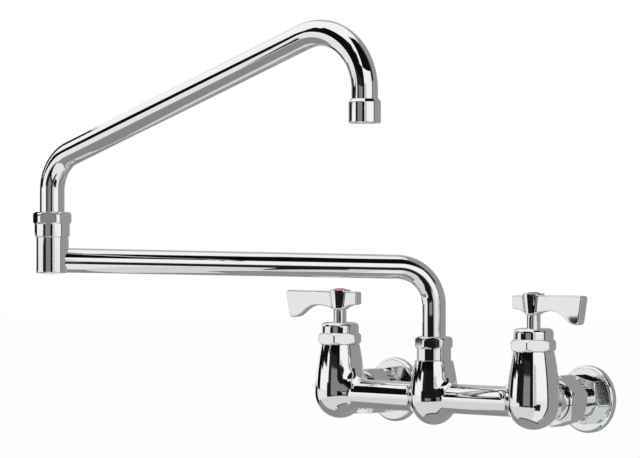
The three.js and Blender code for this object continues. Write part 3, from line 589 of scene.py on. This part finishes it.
def cutWith(item, tools):
    for tool in tools:
        cut = item.modifiers.new("cut", "BOOLEAN")
        cut.operation = "DIFFERENCE"
        cut.solver = "EXACT"
        cut.object = tool
    plainCopy(item)
    for tool in tools:
        bpy.data.objects.remove(tool)


castBody = {
    "valve": {"neck": 16.1, "bulb": 20.6, "top": 39.5, "depth": 20.7},
    "spout": {"neck": 15.4, "bulb": 19.3, "top": 29.3, "depth": 21.6},
    "taper": 1.75,
    "overRim": 6,          # the taper goes on this far above a rim
    "tube": 11.7,
    "valveBlend": {"top": 12, "side": 4, "bottom": 4.5},
    "spoutBlend": {"top": 6.5, "side": 3.5, "bottom": 4.5},
    "boss": 15.1,
    "bossBlend": 2.5,
    "bossFace": 46,        # from the wall
    "thread": 13.2,
    "threadEnd": 36,
    "nutNeck": 12.2,
    "nutNeckTop": 36.9,
    "shankSocket": 10,
    "shankFloor": 20.9,
    "well": 7.5,
    "wellLow": -4,
    "wellHigh": 25,
    "recess": 12.9,
    "recessFloor": 31,
    "chamber": 10.6,
    "chamberLow": -2,
    "chamberHigh": 32,
    "waterway": 8,
    "waterwayEnd": 54,     # from the wall
    "facing": 30,          # reach of the cutters that face a rim
    "clearance": 40,       # their height above it
    "bossFacing": 34,
    "bossCutLow": 10,      # from the wall
    "netBelow": (3, 3, 3),
    "netAbove": (3, 3, 6),
    "cell": 1.0,
}


def barrelField(points, x, barrel):
    away = np.hypot(points[:, 0] - x, points[:, 1])
    height = points[:, 2]
    up = np.clip(height, 0, barrel["top"] + castBody["overRim"]) / barrel["top"]
    swell = barrel["bulb"] - barrel["neck"]
    wall = barrel["bulb"] - swell * up ** castBody["taper"]
    lean = -swell * castBody["taper"] * up ** (castBody["taper"] - 1) / barrel["top"]
    above = (away - wall) / np.sqrt(1 + lean ** 2)
    squat = np.sqrt((away / barrel["bulb"]) ** 2 + (height / barrel["depth"]) ** 2)
    return np.where(height < 0, (squat - 1) * barrel["bulb"], above)


def blendReach(points, blend):
    upright = np.where(points[:, 2] > 0, blend["top"], blend["bottom"])
    share = np.abs(points[:, 2]) / np.maximum(np.hypot(points[:, 1], points[:, 2]), 1e-3)
    return blend["side"] + (upright - blend["side"]) * share


def bodyField(points):
    here = np.column_stack([np.abs(points[:, 0]), points[:, 1] + wallStandoff, points[:, 2]])
    nearSpout = here[:, 0] < valveSpread / 2
    barrel = np.where(nearSpout, barrelField(here, 0, castBody["spout"]),
                      barrelField(here, valveSpread, castBody["valve"]))
    reach = np.where(nearSpout, blendReach(here, castBody["spoutBlend"]),
                     blendReach(here, castBody["valveBlend"]))
    tube = np.maximum(np.hypot(here[:, 1], here[:, 2]) - castBody["tube"], here[:, 0] - valveSpread)
    boss = np.maximum(np.hypot(here[:, 0] - valveSpread, here[:, 2]) - castBody["boss"], -here[:, 1])
    return smoothUnion(smoothUnion(tube, barrel, reach), boss, castBody["bossBlend"])


def barrelCutters(name):
    # the tall cutters end at different heights, so that no two share an end face
    c = castBody
    rim = c[name]["top"]
    over = rim + c["clearance"]
    if name == "spout":
        return [boring(c["facing"], rim, over, c["nutNeck"]),
                boring(c["facing"] + 1, c["nutNeckTop"], over + 1),
                boring(c["shankSocket"], c["shankFloor"], over + 2),
                boring(c["well"], c["wellLow"], c["wellHigh"])]
    return [boring(c["facing"], rim, over),
            boring(c["recess"], c["recessFloor"], over + 1),
            boring(c["chamber"], c["chamberLow"], c["chamberHigh"])]


def bossCutters():
    # the thread, its end face and the waterway of a rear inlet boss
    c = castBody
    low = c["bossCutLow"]
    return [boring(c["bossFacing"], low, c["bossFace"], c["thread"]),
            boring(c["bossFacing"] + 1, low - 1, c["threadEnd"]),
            boring(c["waterway"], low - 2, c["waterwayEnd"])]


def makeBody():
    low, high = [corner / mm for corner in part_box("faucet_body")]
    net = surfaceNet("faucetBody", bodyField, low - Vector(castBody["netBelow"]),
                     high + Vector(castBody["netAbove"]), castBody["cell"])
    cuts = [(standing(Vector((x, -wallStandoff, 0))), barrelCutters(name))
            for x, name in ((-valveSpread, "valve"), (0, "spout"), (valveSpread, "valve"))]
    cuts += [(fromWall(hand), bossCutters()) for hand in hands]
    tools = []
    for place, outlines in cuts:
        for outline in outlines:
            tool = turnedPiece("tool", outline)
            tool.data.transform(place)
            tools.append(tool)
    cutWith(net, tools)
    exactNormals(net, bodyField)
    return settle(net, "faucet_body", weighted=False)


body = makeBody()
print("body casting:", len(body.data.polygons), "faces")

# heights here run out from the wall
flange = {"disc": 26.6, "thick": 6.2, "bevel": 2.2, "flats": 35, "hexEnd": 14.7, "neck": 13.2, "end": 26.7,
          "socket": 10.3, "socketDepth": 15.4, "tapping": 11.3, "corner": {"left": 15, "right": -14},
          "bevelDrop": 0.6, "bevelRun": 0.8, "backRound": 0.6, "rimRound": 2.2, "faceRound": 1.2,
          "chamfer": 1.0, "endRound": 0.3}
coupling = {"flats": 36.4, "low": 27, "high": 45, "chamfer": 1.2, "lip": 30.3, "tail": 11.3, "thread": 13.5,
            "boreRound": 0.4, "corner": {"left": 3, "right": 17.5}}


def hexRadii(sizes):
    # the radii of a hexagon's corners and of its round end faces
    return sizes["flats"] / math.sqrt(3), sizes["flats"] / 2 - milling["faceInset"]


def makeInlet(hand):
    f = flange
    peak, face = hexRadii(f)
    sliver = milling["sliver"]
    hexPiece(f"wall_flange_{hand}", [
        (f["socket"], 0), (f["disc"], 0, f["backRound"]),
        (f["disc"], f["thick"] - f["bevel"] * f["bevelDrop"], f["rimRound"]),
        (f["disc"] - f["bevel"] * f["bevelRun"], f["thick"], f["faceRound"]),
        (peak, f["thick"] + 3 * sliver), (peak, f["hexEnd"] - f["chamfer"]), (face, f["hexEnd"]),
        (f["neck"], f["hexEnd"]), (f["neck"], f["end"], f["endRound"]), (f["tapping"], f["end"]),
        (f["tapping"], f["socketDepth"]), (f["socket"], f["socketDepth"])],
        f["flats"], f["corner"][hand], f["thick"] + sliver, f["hexEnd"] + sliver, fromWall(hand))
    c = coupling
    peak, face = hexRadii(c)
    hexPiece(f"coupling_nut_{hand}", [
        (c["tail"], c["low"]), (face, c["low"]), (peak, c["low"] + c["chamfer"]),
        (peak, c["high"] - c["chamfer"]), (face, c["high"]), (c["thread"], c["high"], c["boreRound"]),
        (c["thread"], c["lip"]), (c["tail"], c["lip"])],
        c["flats"], c["corner"][hand], c["low"] - 1, c["high"] + 1, fromWall(hand))


for hand in hands:
    makeInlet(hand)
print("wall inlets")

bonnet = {"low": 39.8, "hexTop": 49.1, "top": 57.7, "flats": 31.4, "cap": 15.5, "round": 3.6, "chamfer": 2,
          "corner": {"left": -64, "right": -68}, "skirt": 12.6, "skirtLow": 34.3, "bore": 9, "bush": 5.7,
          "bushLow": 53.7, "bushRound": 0.3, "steps": 9}
stem = {"radius": 5.4, "foot": 8.2, "footLow": 6.6, "footTop": 9.1, "top": 68.1, "topRound": 0.4,
        "spigot": 4.5, "spigotTop": 75.7, "spigotRound": 0.3}


def makeValve(hand):
    b = bonnet
    peak, face = hexRadii(b)
    place = standing(valveAxis[hand])
    hexPiece(f"bonnet_{hand}", [
        (b["bore"], b["skirtLow"]), (b["skirt"], b["skirtLow"]), (b["skirt"], b["low"]), (face, b["low"]),
        (peak, b["low"] + b["chamfer"]), (peak, b["hexTop"] - b["chamfer"]), (b["cap"], b["hexTop"]),
        (b["cap"], b["top"], b["round"]), (b["bush"], b["top"], b["bushRound"]),
        (b["bush"], b["bushLow"]), (b["bore"], b["bushLow"])],
        b["flats"], b["corner"][hand], b["low"] - 1, b["hexTop"] + milling["sliver"], place, b["steps"])
    s = stem
    settle(turnedPiece("stem", [
        (0, s["footLow"]), (s["foot"], s["footLow"]), (s["foot"], s["footTop"]), (s["radius"], s["footTop"]),
        (s["radius"], s["top"], s["topRound"]), (s["spigot"], s["top"]),
        (s["spigot"], s["spigotTop"], s["spigotRound"]), (0, s["spigotTop"])]),
        f"valve_stem_{hand}", place)


for hand in hands:
    makeValve(hand)
print("bonnets and stems")

lever = {
    "hubLow": 68.4, "hubTop": 84.6, "hubFoot": 6.6, "hubHead": 8.6, "hubEdge": 0.7,
    "reach": 53.5, "stub": 19.6, "thickness": 7.7, "edge": 1.0, "blend": 1.6,
    "swing": 5,              # degrees from along the wall towards the user
    "topDrop": 1.6, "tipLift": 0.6, "tipDepth": 22.4, "tipSlant": 3, "tipRound": 1.5, "heelRound": 3,
    "waistDepth": 11.6, "waistReach": 21, "heelPull": 15, "waistPull": 14, "sweepSteps": 24,
    "hubPull": 8, "hubCover": 2, "stubPull": 3, "stubDepth": 10.8, "stubRound": 1,
    "cell": 0.5, "netMargin": 1.3, "netBelow": 3, "tolerance": 0.05, "cutterSides": 64,
    "socket": 4.8, "socketLow": 60, "socketTop": 76,
    "screwHole": 4.1, "screwHoleLow": 78, "screwHoleTop": 95,
    "well": 6.3, "wellDepth": 3, "wellTop": 96,
}


def curve(points, steps=10):
    # a Bezier stretch without its first point
    points = [np.array(p, float) for p in points]
    order = len(points) - 1
    shares = [k / steps for k in range(1, steps + 1)]
    return [sum(math.comb(order, i) * (1 - t) ** (order - i) * t ** i * points[i] for i in range(order + 1))
            for t in shares]


def leverOutline():
    # side view of the lever, drawn an edge's width inside its faces
    edge = lever["edge"]
    top = lever["hubTop"] - lever["topDrop"] - edge
    tipTop = top + lever["tipLift"]
    tipLow = tipTop - lever["tipDepth"] + 2 * edge
    waist = top - lever["waistDepth"] + 2 * edge
    stubLow = top - lever["stubDepth"] + 2 * edge
    tip, stub = lever["reach"] - edge, lever["stub"] - edge
    foot = tip - lever["tipSlant"]
    hubLow, hub = lever["hubLow"] + lever["hubCover"], lever["hubFoot"]
    tipRound, heel, small = lever["tipRound"], lever["heelRound"], lever["stubRound"]
    neck = lever["waistReach"]
    outline = [np.array((small - stub, top)), np.array((tip - tipRound, tipTop))]
    outline += curve([(tip - tipRound, tipTop), (tip, tipTop), (tip, tipTop - tipRound)])
    outline += [np.array((foot, tipLow + heel))]
    outline += curve([(foot, tipLow + heel), (foot, tipLow), (foot - heel, tipLow)])
    outline += curve([(foot - heel, tipLow), (tip - lever["heelPull"], tipLow),
                      (neck + lever["waistPull"], waist), (neck, waist)], lever["sweepSteps"])
    outline += curve([(neck, waist), (neck - lever["hubPull"], waist), (hub, hubLow)])
    outline += [np.array((-hub, hubLow))]
    outline += curve([(-hub, hubLow), (-lever["hubHead"] - lever["stubPull"], stubLow),
                      (small - stub, stubLow)])
    outline += curve([(small - stub, stubLow), (-stub, stubLow), (-stub, stubLow + small)])
    outline += [np.array((-stub, top - small))]
    outline += curve([(-stub, top - small), (-stub, top), (small - stub, top)])[:-1]
    return np.array(outline)


def outlineDistance(outline, points):
    # signed distance in the plane, negative inside
    nearest = np.full(len(points), np.inf)
    inside = np.zeros(len(points), bool)
    for start, end in zip(outline, np.roll(outline, -1, 0)):
        run = end - start
        share = np.clip((points - start) @ run / (run @ run), 0, 1)
        nearest = np.minimum(nearest, np.linalg.norm(points - start - share[:, None] * run, axis=1))
        crosses = (start[1] > points[:, 1]) != (end[1] > points[:, 1])
        rise = run[1] if abs(run[1]) > 1e-12 else 1e-12
        inside ^= crosses & (points[:, 0] < start[0] + run[0] * (points[:, 1] - start[1]) / rise)
    return np.where(inside, -nearest, nearest)


def leverField(outline):
    edge, hubEdge = lever["edge"], lever["hubEdge"]

    def field(points):
        flat = outlineDistance(outline, points[:, [0, 2]])
        across = np.abs(points[:, 1]) - (lever["thickness"] / 2 - edge)
        share = (points[:, 2] - lever["hubLow"]) / (lever["hubTop"] - lever["hubLow"])
        wall = lever["hubFoot"] + (lever["hubHead"] - lever["hubFoot"]) * share - hubEdge
        side = np.hypot(points[:, 0], points[:, 1]) - wall
        ends = np.maximum(lever["hubLow"] + hubEdge - points[:, 2], points[:, 2] - lever["hubTop"] + hubEdge)
        return smoothUnion(roundedEdge(flat, across, edge), roundedEdge(side, ends, hubEdge), lever["blend"])
    return field


def makeLever(hand):
    field = leverField(leverOutline())
    margin = lever["netMargin"]
    half = lever["hubHead"] + margin
    low = (-lever["stub"] - margin, -half, lever["hubTop"] - lever["tipDepth"] - lever["netBelow"])
    high = (lever["reach"] + margin, half, lever["hubTop"] + margin)
    item = surfaceNet("lever", field, low, high, lever["cell"])
    cutWith(item, [turnedPiece("tool", outline, lever["cutterSides"]) for outline in (
        boring(lever["socket"], lever["socketLow"], lever["socketTop"]),
        boring(lever["screwHole"], lever["screwHoleLow"], lever["screwHoleTop"]),
        boring(lever["well"], lever["hubTop"] - lever["wellDepth"], lever["wellTop"]))])
    exactNormals(item, field, lever["tolerance"])
    turn = 180 + lever["swing"] if hand == "left" else -lever["swing"]
    place = standing(valveAxis[hand]) @ Matrix.Rotation(math.radians(turn), 4, "Z")
    return settle(item, f"lever_handle_{hand}", place, weighted=False)


button = {"radius": 6, "low": 81.9, "rim": 84.6, "top": 85.5, "shoulder": 0.1, "rimRound": 0.5,
          "crown": 0.55, "crownRound": 4, "sides": 72, "steps": 8}


def makeButton(hand):
    b = button
    settle(turnedPiece("button", [
        (0, b["low"]), (b["radius"], b["low"]), (b["radius"], b["rim"] - b["shoulder"], b["rimRound"]),
        (b["radius"] * b["crown"], b["top"], b["crownRound"]), (0, b["top"])], b["sides"], b["steps"]),
        f"index_button_{hand}", standing(valveAxis[hand]))


for hand in hands:
    item = makeLever(hand)
    makeButton(hand)
print("levers:", len(item.data.polygons), "faces each")

# heights here are above the rim that the nut sits on
swivel = {"skirt": 13.7, "skirtTop": 10, "flats": 27.4, "top": 19.5, "trim": 15, "low": 0.3, "thread": 12.5,
          "lip": 13.5, "bore": 9.825, "corner": {"pivot": -20, "knuckle": -24}, "skirtRound": 0.4,
          "trimRise": 1.4, "trimRound": 3, "boreRound": 0.25}
pivotRim = castBody["spout"]["top"]
knuckleRim = knuckleAxis.z


def makeNut(name, rim, axis):
    n = swivel
    shoulder, top, lip = rim + n["skirtTop"], rim + n["top"], rim + n["lip"]
    hexPiece(f"{name}_nut", [
        (n["thread"], rim + n["low"]), (n["skirt"], rim + n["low"], n["skirtRound"]),
        (n["skirt"], shoulder), (n["trim"], shoulder + n["trimRise"]), (n["trim"], top, n["trimRound"]),
        (n["bore"], top, n["boreRound"]), (n["bore"], lip), (n["thread"], lip)],
        n["flats"], n["corner"][name], shoulder + 2 * milling["sliver"], top + 1, standing(axis))


makeNut("pivot", pivotRim, pivotAxis)
makeNut("knuckle", knuckleRim, knuckleAxis)

spout = {
    "radius": 9.525, "wall": 1.2, "sides": 96,
    "reach": 304.8,          # of either arm, from axis to axis
    "lower": {"swing": 235.7, "start": 40.5, "corner": 103.6, "rise": 1.24, "bend": 30.5, "end": 296.2},
    "upper": {"swing": 4.5, "start": 139.3, "corner": 185.3, "rise": 19.3, "bend": 30, "end": 216.7},
    "crownBend": 41.6,
    "crownSteps": 60,
    "crownDrop": 0.22,       # keeps the round tube's top inside the box of the faceted one
}
upward = np.array((0.0, 1.0))


def bendPoints(corner, start, end, radius, steps=40):
    # points round a corner of the path, from one direction to the next
    turn = math.acos(float(start @ end))
    first = corner - start * radius * math.tan(turn / 2)
    inward = end - start * float(end @ start)
    inward /= np.linalg.norm(inward)
    return [first + start * radius * math.sin(turn * k / steps)
            + inward * radius * (1 - math.cos(turn * k / steps)) for k in range(steps + 1)]


def makeTube(node, points, place):
    vertices = [(p[0] * mm, 0, p[1] * mm) for p in points]
    item = meshObject(node, vertices, [], [(i, i + 1) for i in range(len(points) - 1)])
    tubeTree.apply(item, {
        "Radius": spout["radius"] * mm, "Sides": spout["sides"], "Material": materialOf(node)})
    faceOutward(item)
    wall = item.modifiers.new("wall", "SOLIDIFY")
    wall.thickness = spout["wall"] * mm
    wall.offset = -1
    wall.use_even_offset = True
    plainCopy(item)
    return settle(item, node, place)


def armPlace(axis, swing):
    return standing(axis) @ Matrix.Rotation(math.radians(swing), 4, "Z")


def armHeight(arm, away):
    # height of the arm's middle line at a distance from its axis
    return arm["corner"] + away * math.tan(math.radians(arm["rise"]))


def armStart(arm):
    # the path up from the swivel and round its first bend, and the way that it leaves
    rise = math.radians(arm["rise"])
    along = np.array((math.cos(rise), math.sin(rise)))
    bend = bendPoints(np.array((0, arm["corner"])), upward, along, arm["bend"])
    return [np.array((0, arm["start"]))] + bend, along


def makeArms():
    low, high, reach = spout["lower"], spout["upper"], spout["reach"]
    points, along = armStart(low)
    points.append(np.array((low["end"], armHeight(low, low["end"]))))
    makeTube("lower_spout_tube", points, armPlace(pivotAxis, low["swing"]))
    points, along = armStart(high)
    crown = np.array((reach, armHeight(high, reach) - spout["crownDrop"]))
    points += bendPoints(crown, along, -upward, spout["crownBend"], spout["crownSteps"])
    points.append(np.array((reach, high["end"])))
    makeTube("upper_spout_tube", points, armPlace(knuckleAxis, high["swing"]))


makeArms()

knuckle = {"radius": 12.7, "low": 98.9, "rise": 1.6, "edge": 1.2, "neck": 12.2, "neckTop": 135.7, "well": 8,
           "floor": 3, "plug": 10, "plugLow": 119.7, "socket": 9.56, "socketNear": 4, "socketFar": 40,
           "baseRound": 8, "rimRound": 0.4, "sides": 128, "steps": 6}


def makeKnuckle():
    k = knuckle
    floor = k["low"] + k["floor"]
    item = turnedPiece("knuckle", [
        (0, k["low"]), (k["radius"] / 2, k["low"] + k["rise"] / 4, k["baseRound"]),
        (k["radius"], k["low"] + k["rise"], k["edge"]), (k["radius"], knuckleRim, k["rimRound"]),
        (k["neck"], knuckleRim), (k["neck"], k["neckTop"]), (k["plug"], k["neckTop"]),
        (k["plug"], k["plugLow"]), (k["well"], k["plugLow"]), (k["well"], floor), (0, floor)],
        k["sides"], k["steps"])
    low = spout["lower"]
    height = armHeight(low, spout["reach"])
    tool = turnedPiece("tool", boring(k["socket"], k["socketNear"], k["socketFar"]), k["sides"])
    tool.data.transform(Matrix.Translation((0, 0, height * mm))
                        @ Matrix.Rotation(math.radians(-90 - low["rise"]), 4, "Y"))
    cutWith(item, [tool])
    settle(item, "knuckle_body", armPlace(knuckleAxis, low["swing"]))


makeKnuckle()
print("spout arms and knuckle")

aerator = {"radius": 11.6, "low": 209.2, "top": 226.5, "lip": 210.6, "lipRadius": 8.2, "bore": 9.825,
           "shoulder": 2.2, "lipRound": 0.4, "footRound": 1.3, "shoulderRound": 0.8, "topRound": 0.2,
           "insert": 9.5, "insertLow": 210.9, "insertHigh": 214.5, "insertRound": 0.3, "jet": 0.8,
           "spacing": 3.3, "drillDepth": 20}


def outletPlace():
    reach, turn = spout["reach"], math.radians(spout["upper"]["swing"])
    return Matrix.Translation(((knuckleAxis.x + reach * math.cos(turn)) * mm,
                               (knuckleAxis.y + reach * math.sin(turn)) * mm, 0))


def makeAerator():
    a = aerator
    settle(turnedPiece("aerator", [
        (a["lipRadius"], a["low"], a["lipRound"]), (a["radius"], a["low"], a["footRound"]),
        (a["radius"], a["top"] - a["shoulder"], a["shoulderRound"]),
        (a["bore"] + a["shoulder"] / 4, a["top"], a["topRound"]), (a["bore"], a["top"]),
        (a["bore"], a["lip"]), (a["lipRadius"], a["lip"])]), "aerator_housing", outletPlace())
    disc = turnedPiece("insert", [
        (0, a["insertLow"]), (a["insert"], a["insertLow"], a["insertRound"]),
        (a["insert"], a["insertHigh"]), (0, a["insertHigh"])])
    jetTree.apply(disc, {
        "Jet Radius": a["jet"] * mm, "Spacing": a["spacing"] * mm, "Depth": a["drillDepth"] * mm,
        "Height": a["insertLow"] * mm, "Material": materialOf("aerator_insert")})
    settle(disc, "aerator_insert", outletPlace())


makeAerator()
print("outlet")

# the reflected studio: patches of a globe, with angles to the right of the camera and above level
studio = {
    "floorHeight": -1.75,
    "floorSize": 400,
    "floorSeen": 0.97,         # share of plain white in the floor, to the camera
    "floorMirrored": 0.75,     # and in a reflection
    "paper": (0.86, 0.86, 0.855, 1),
    "worldLight": 0.55,        # what the surround sheds; it is 1 where it is seen
    "lampPlace": (0.9, -1.5, 1.9),
    "lampWidth": 1.6,
    "lampDepth": 1.2,
    "lampEnergy": 14,
    "cardSpacing": 0.004,      # share of the radius between cards, so that no two coincide
    "cardCell": (3, 4),        # degrees across and up
    "globes": {
        "far": ((-0.02, -0.17, 0.12), 1.6),
        "near": ((0, -0.07, 0.02), 0.42),
        "low": ((0, -0.07, 0.02), 0.25),
        "front": ((0, -0.07, 0.02), 0.13),
    },
    "cards": [
        # globe, from, to, low and high elevation, grey
        ("far", 60, 66, -50, 75, 0.004),
        ("far", 66, 82, 16, 70, 0.02),
        ("far", 66, 155, -75, 62, 0.32),
        ("far", 2, 14, -12, 12, 0.6),
        ("far", 2, 32, -33, -8, 0.015),
        ("far", 4, 62, 28, 73, 0.004),
        ("far", -14, 0, -45, 28, 0.004),
        ("far", -45, -14, -14, 8, 0.24),
        ("far", -45, -14, 8, 14, 0.02),
        ("far", -66, -45, -20, 0, 0.01),
        ("far", -60, -45, 0, 14, 0.02),
        ("far", -77, -10, 12, 40, 0.004),
        ("far", -70, -18, 40, 49, 0.004),
        ("far", -66, 0, -20, -14, 0.01),
        ("far", -95, -72, 6, 24, 0.004),
        ("far", -108, -95, 3, 19, 0.004),
        ("far", -132, -108, -5, 7, 0.004),
        ("far", -179, -60, -88, -23, 0.27),
        ("far", -155, -128, -38, -5, 0.01),
        ("far", 155, 181, -88, 0, 0.3),
        ("far", 155, 200, 0, 60, 0.5),
        ("near", -112, -87, 14, 38, 0.004),
        ("low", -110, 20, -60, -17, 0.72),
        ("low", -70, 70, -64, -60, 0.01),
        ("low", -180, 180, -90, -64, 0.3),
        ("front", -42, 0, -10, 17, 0.01),
    ],
}


def emission(name, level):
    material = bpy.data.materials.new(name)
    material.use_nodes = True
    graph = Graph(material.node_tree)
    glow = graph.node("ShaderNodeEmission", None, {"Color": (level, level, level, 1), "Strength": 1.0})
    graph.node("ShaderNodeOutputMaterial", None, {"Surface": glow})
    material.cycles.emission_sampling = "NONE"
    return material


def makeCard(index, globe, start, end, low, high, level):
    # seen only in the object's reflections
    centre, radius = studio["globes"][globe]
    centre = Vector(centre)
    radius *= 1 + studio["cardSpacing"] * index
    view = Vector(camera["place"]) - centre
    ahead = math.degrees(math.atan2(view.y, view.x))
    across = max(2, int((end - start) / studio["cardCell"][0]))
    upright = max(2, int((high - low) / studio["cardCell"][1]))
    vertices = []
    for j in range(upright + 1):
        tilt = math.radians(low + (high - low) * j / upright)
        for i in range(across + 1):
            turn = math.radians(ahead + start + (end - start) * i / across)
            vertices.append(centre + radius * Vector(
                (math.cos(tilt) * math.cos(turn), math.cos(tilt) * math.sin(turn), math.sin(tilt))))
    row = across + 1
    faces = [(j * row + i, j * row + i + 1, (j + 1) * row + i + 1, (j + 1) * row + i)
             for j in range(upright) for i in range(across)]
    card = meshObject(f"studioCard{index}", vertices, faces)
    card.data.materials.append(emission(f"cardGlow{index}", level))
    card.visible_camera = False
    card.visible_diffuse = False
    card.visible_shadow = False
    card.visible_transmission = False


for number, card in enumerate(studio["cards"]):
    makeCard(number, *card)


def makeWorld():
    world = bpy.data.worlds.new("studio")
    bpy.context.scene.world = world
    world.use_nodes = True
    graph = Graph(world.node_tree)
    seen = graph.node("ShaderNodeLightPath", output="Is Camera Ray")
    glossy = graph.node("ShaderNodeLightPath", output="Is Glossy Ray")
    through = graph.node("ShaderNodeLightPath", output="Is Transmission Ray")
    shown = graph.maths("MINIMUM", seen + glossy + through, 1.0)
    strength = studio["worldLight"] + (1 - studio["worldLight"]) * shown
    background = graph.node("ShaderNodeBackground", None, {"Color": (1, 1, 1, 1), "Strength": strength})
    graph.node("ShaderNodeOutputWorld", None, {"Surface": background})


def makeFloor():
    size = studio["floorSize"]
    floor = meshObject("floor", [(-size, -size, 0), (size, -size, 0), (size, size, 0), (-size, size, 0)],
                       [(0, 1, 2, 3)])
    floor.data.transform(Matrix.Translation((0, 0, studio["floorHeight"])))
    material = bpy.data.materials.new("floorPaper")
    material.use_nodes = True
    graph = Graph(material.node_tree)
    paper = graph.node("ShaderNodeBsdfDiffuse", None, {"Color": studio["paper"]})
    glow = graph.node("ShaderNodeEmission", None, {"Color": (1, 1, 1, 1), "Strength": 1.0})
    seen = graph.node("ShaderNodeLightPath", output="Is Camera Ray")
    glossy = graph.node("ShaderNodeLightPath", output="Is Glossy Ray")
    shown = graph.maths("MINIMUM", studio["floorSeen"] * seen + studio["floorMirrored"] * glossy, 1.0)
    surface = graph.node("ShaderNodeMixShader", None, {0: shown, 1: paper, 2: glow})
    graph.node("ShaderNodeOutputMaterial", None, {"Surface": surface})
    floor.data.materials.append(material)


def makeLamp():
    data = bpy.data.lights.new("softBox", "AREA")
    data.shape = "RECTANGLE"
    data.size = studio["lampWidth"]
    data.size_y = studio["lampDepth"]
    data.energy = studio["lampEnergy"]
    lamp = bpy.data.objects.new("softBox", data)
    lamp.location = studio["lampPlace"]
    target = Vector(studio["globes"]["far"][0])
    lamp.rotation_euler = (target - lamp.location).to_track_quat("-Z", "Y").to_euler()
    lamp.visible_glossy = False
    lamp.visible_camera = False
    bpy.context.collection.objects.link(lamp)


makeWorld()
makeFloor()
makeLamp()
print("studio")
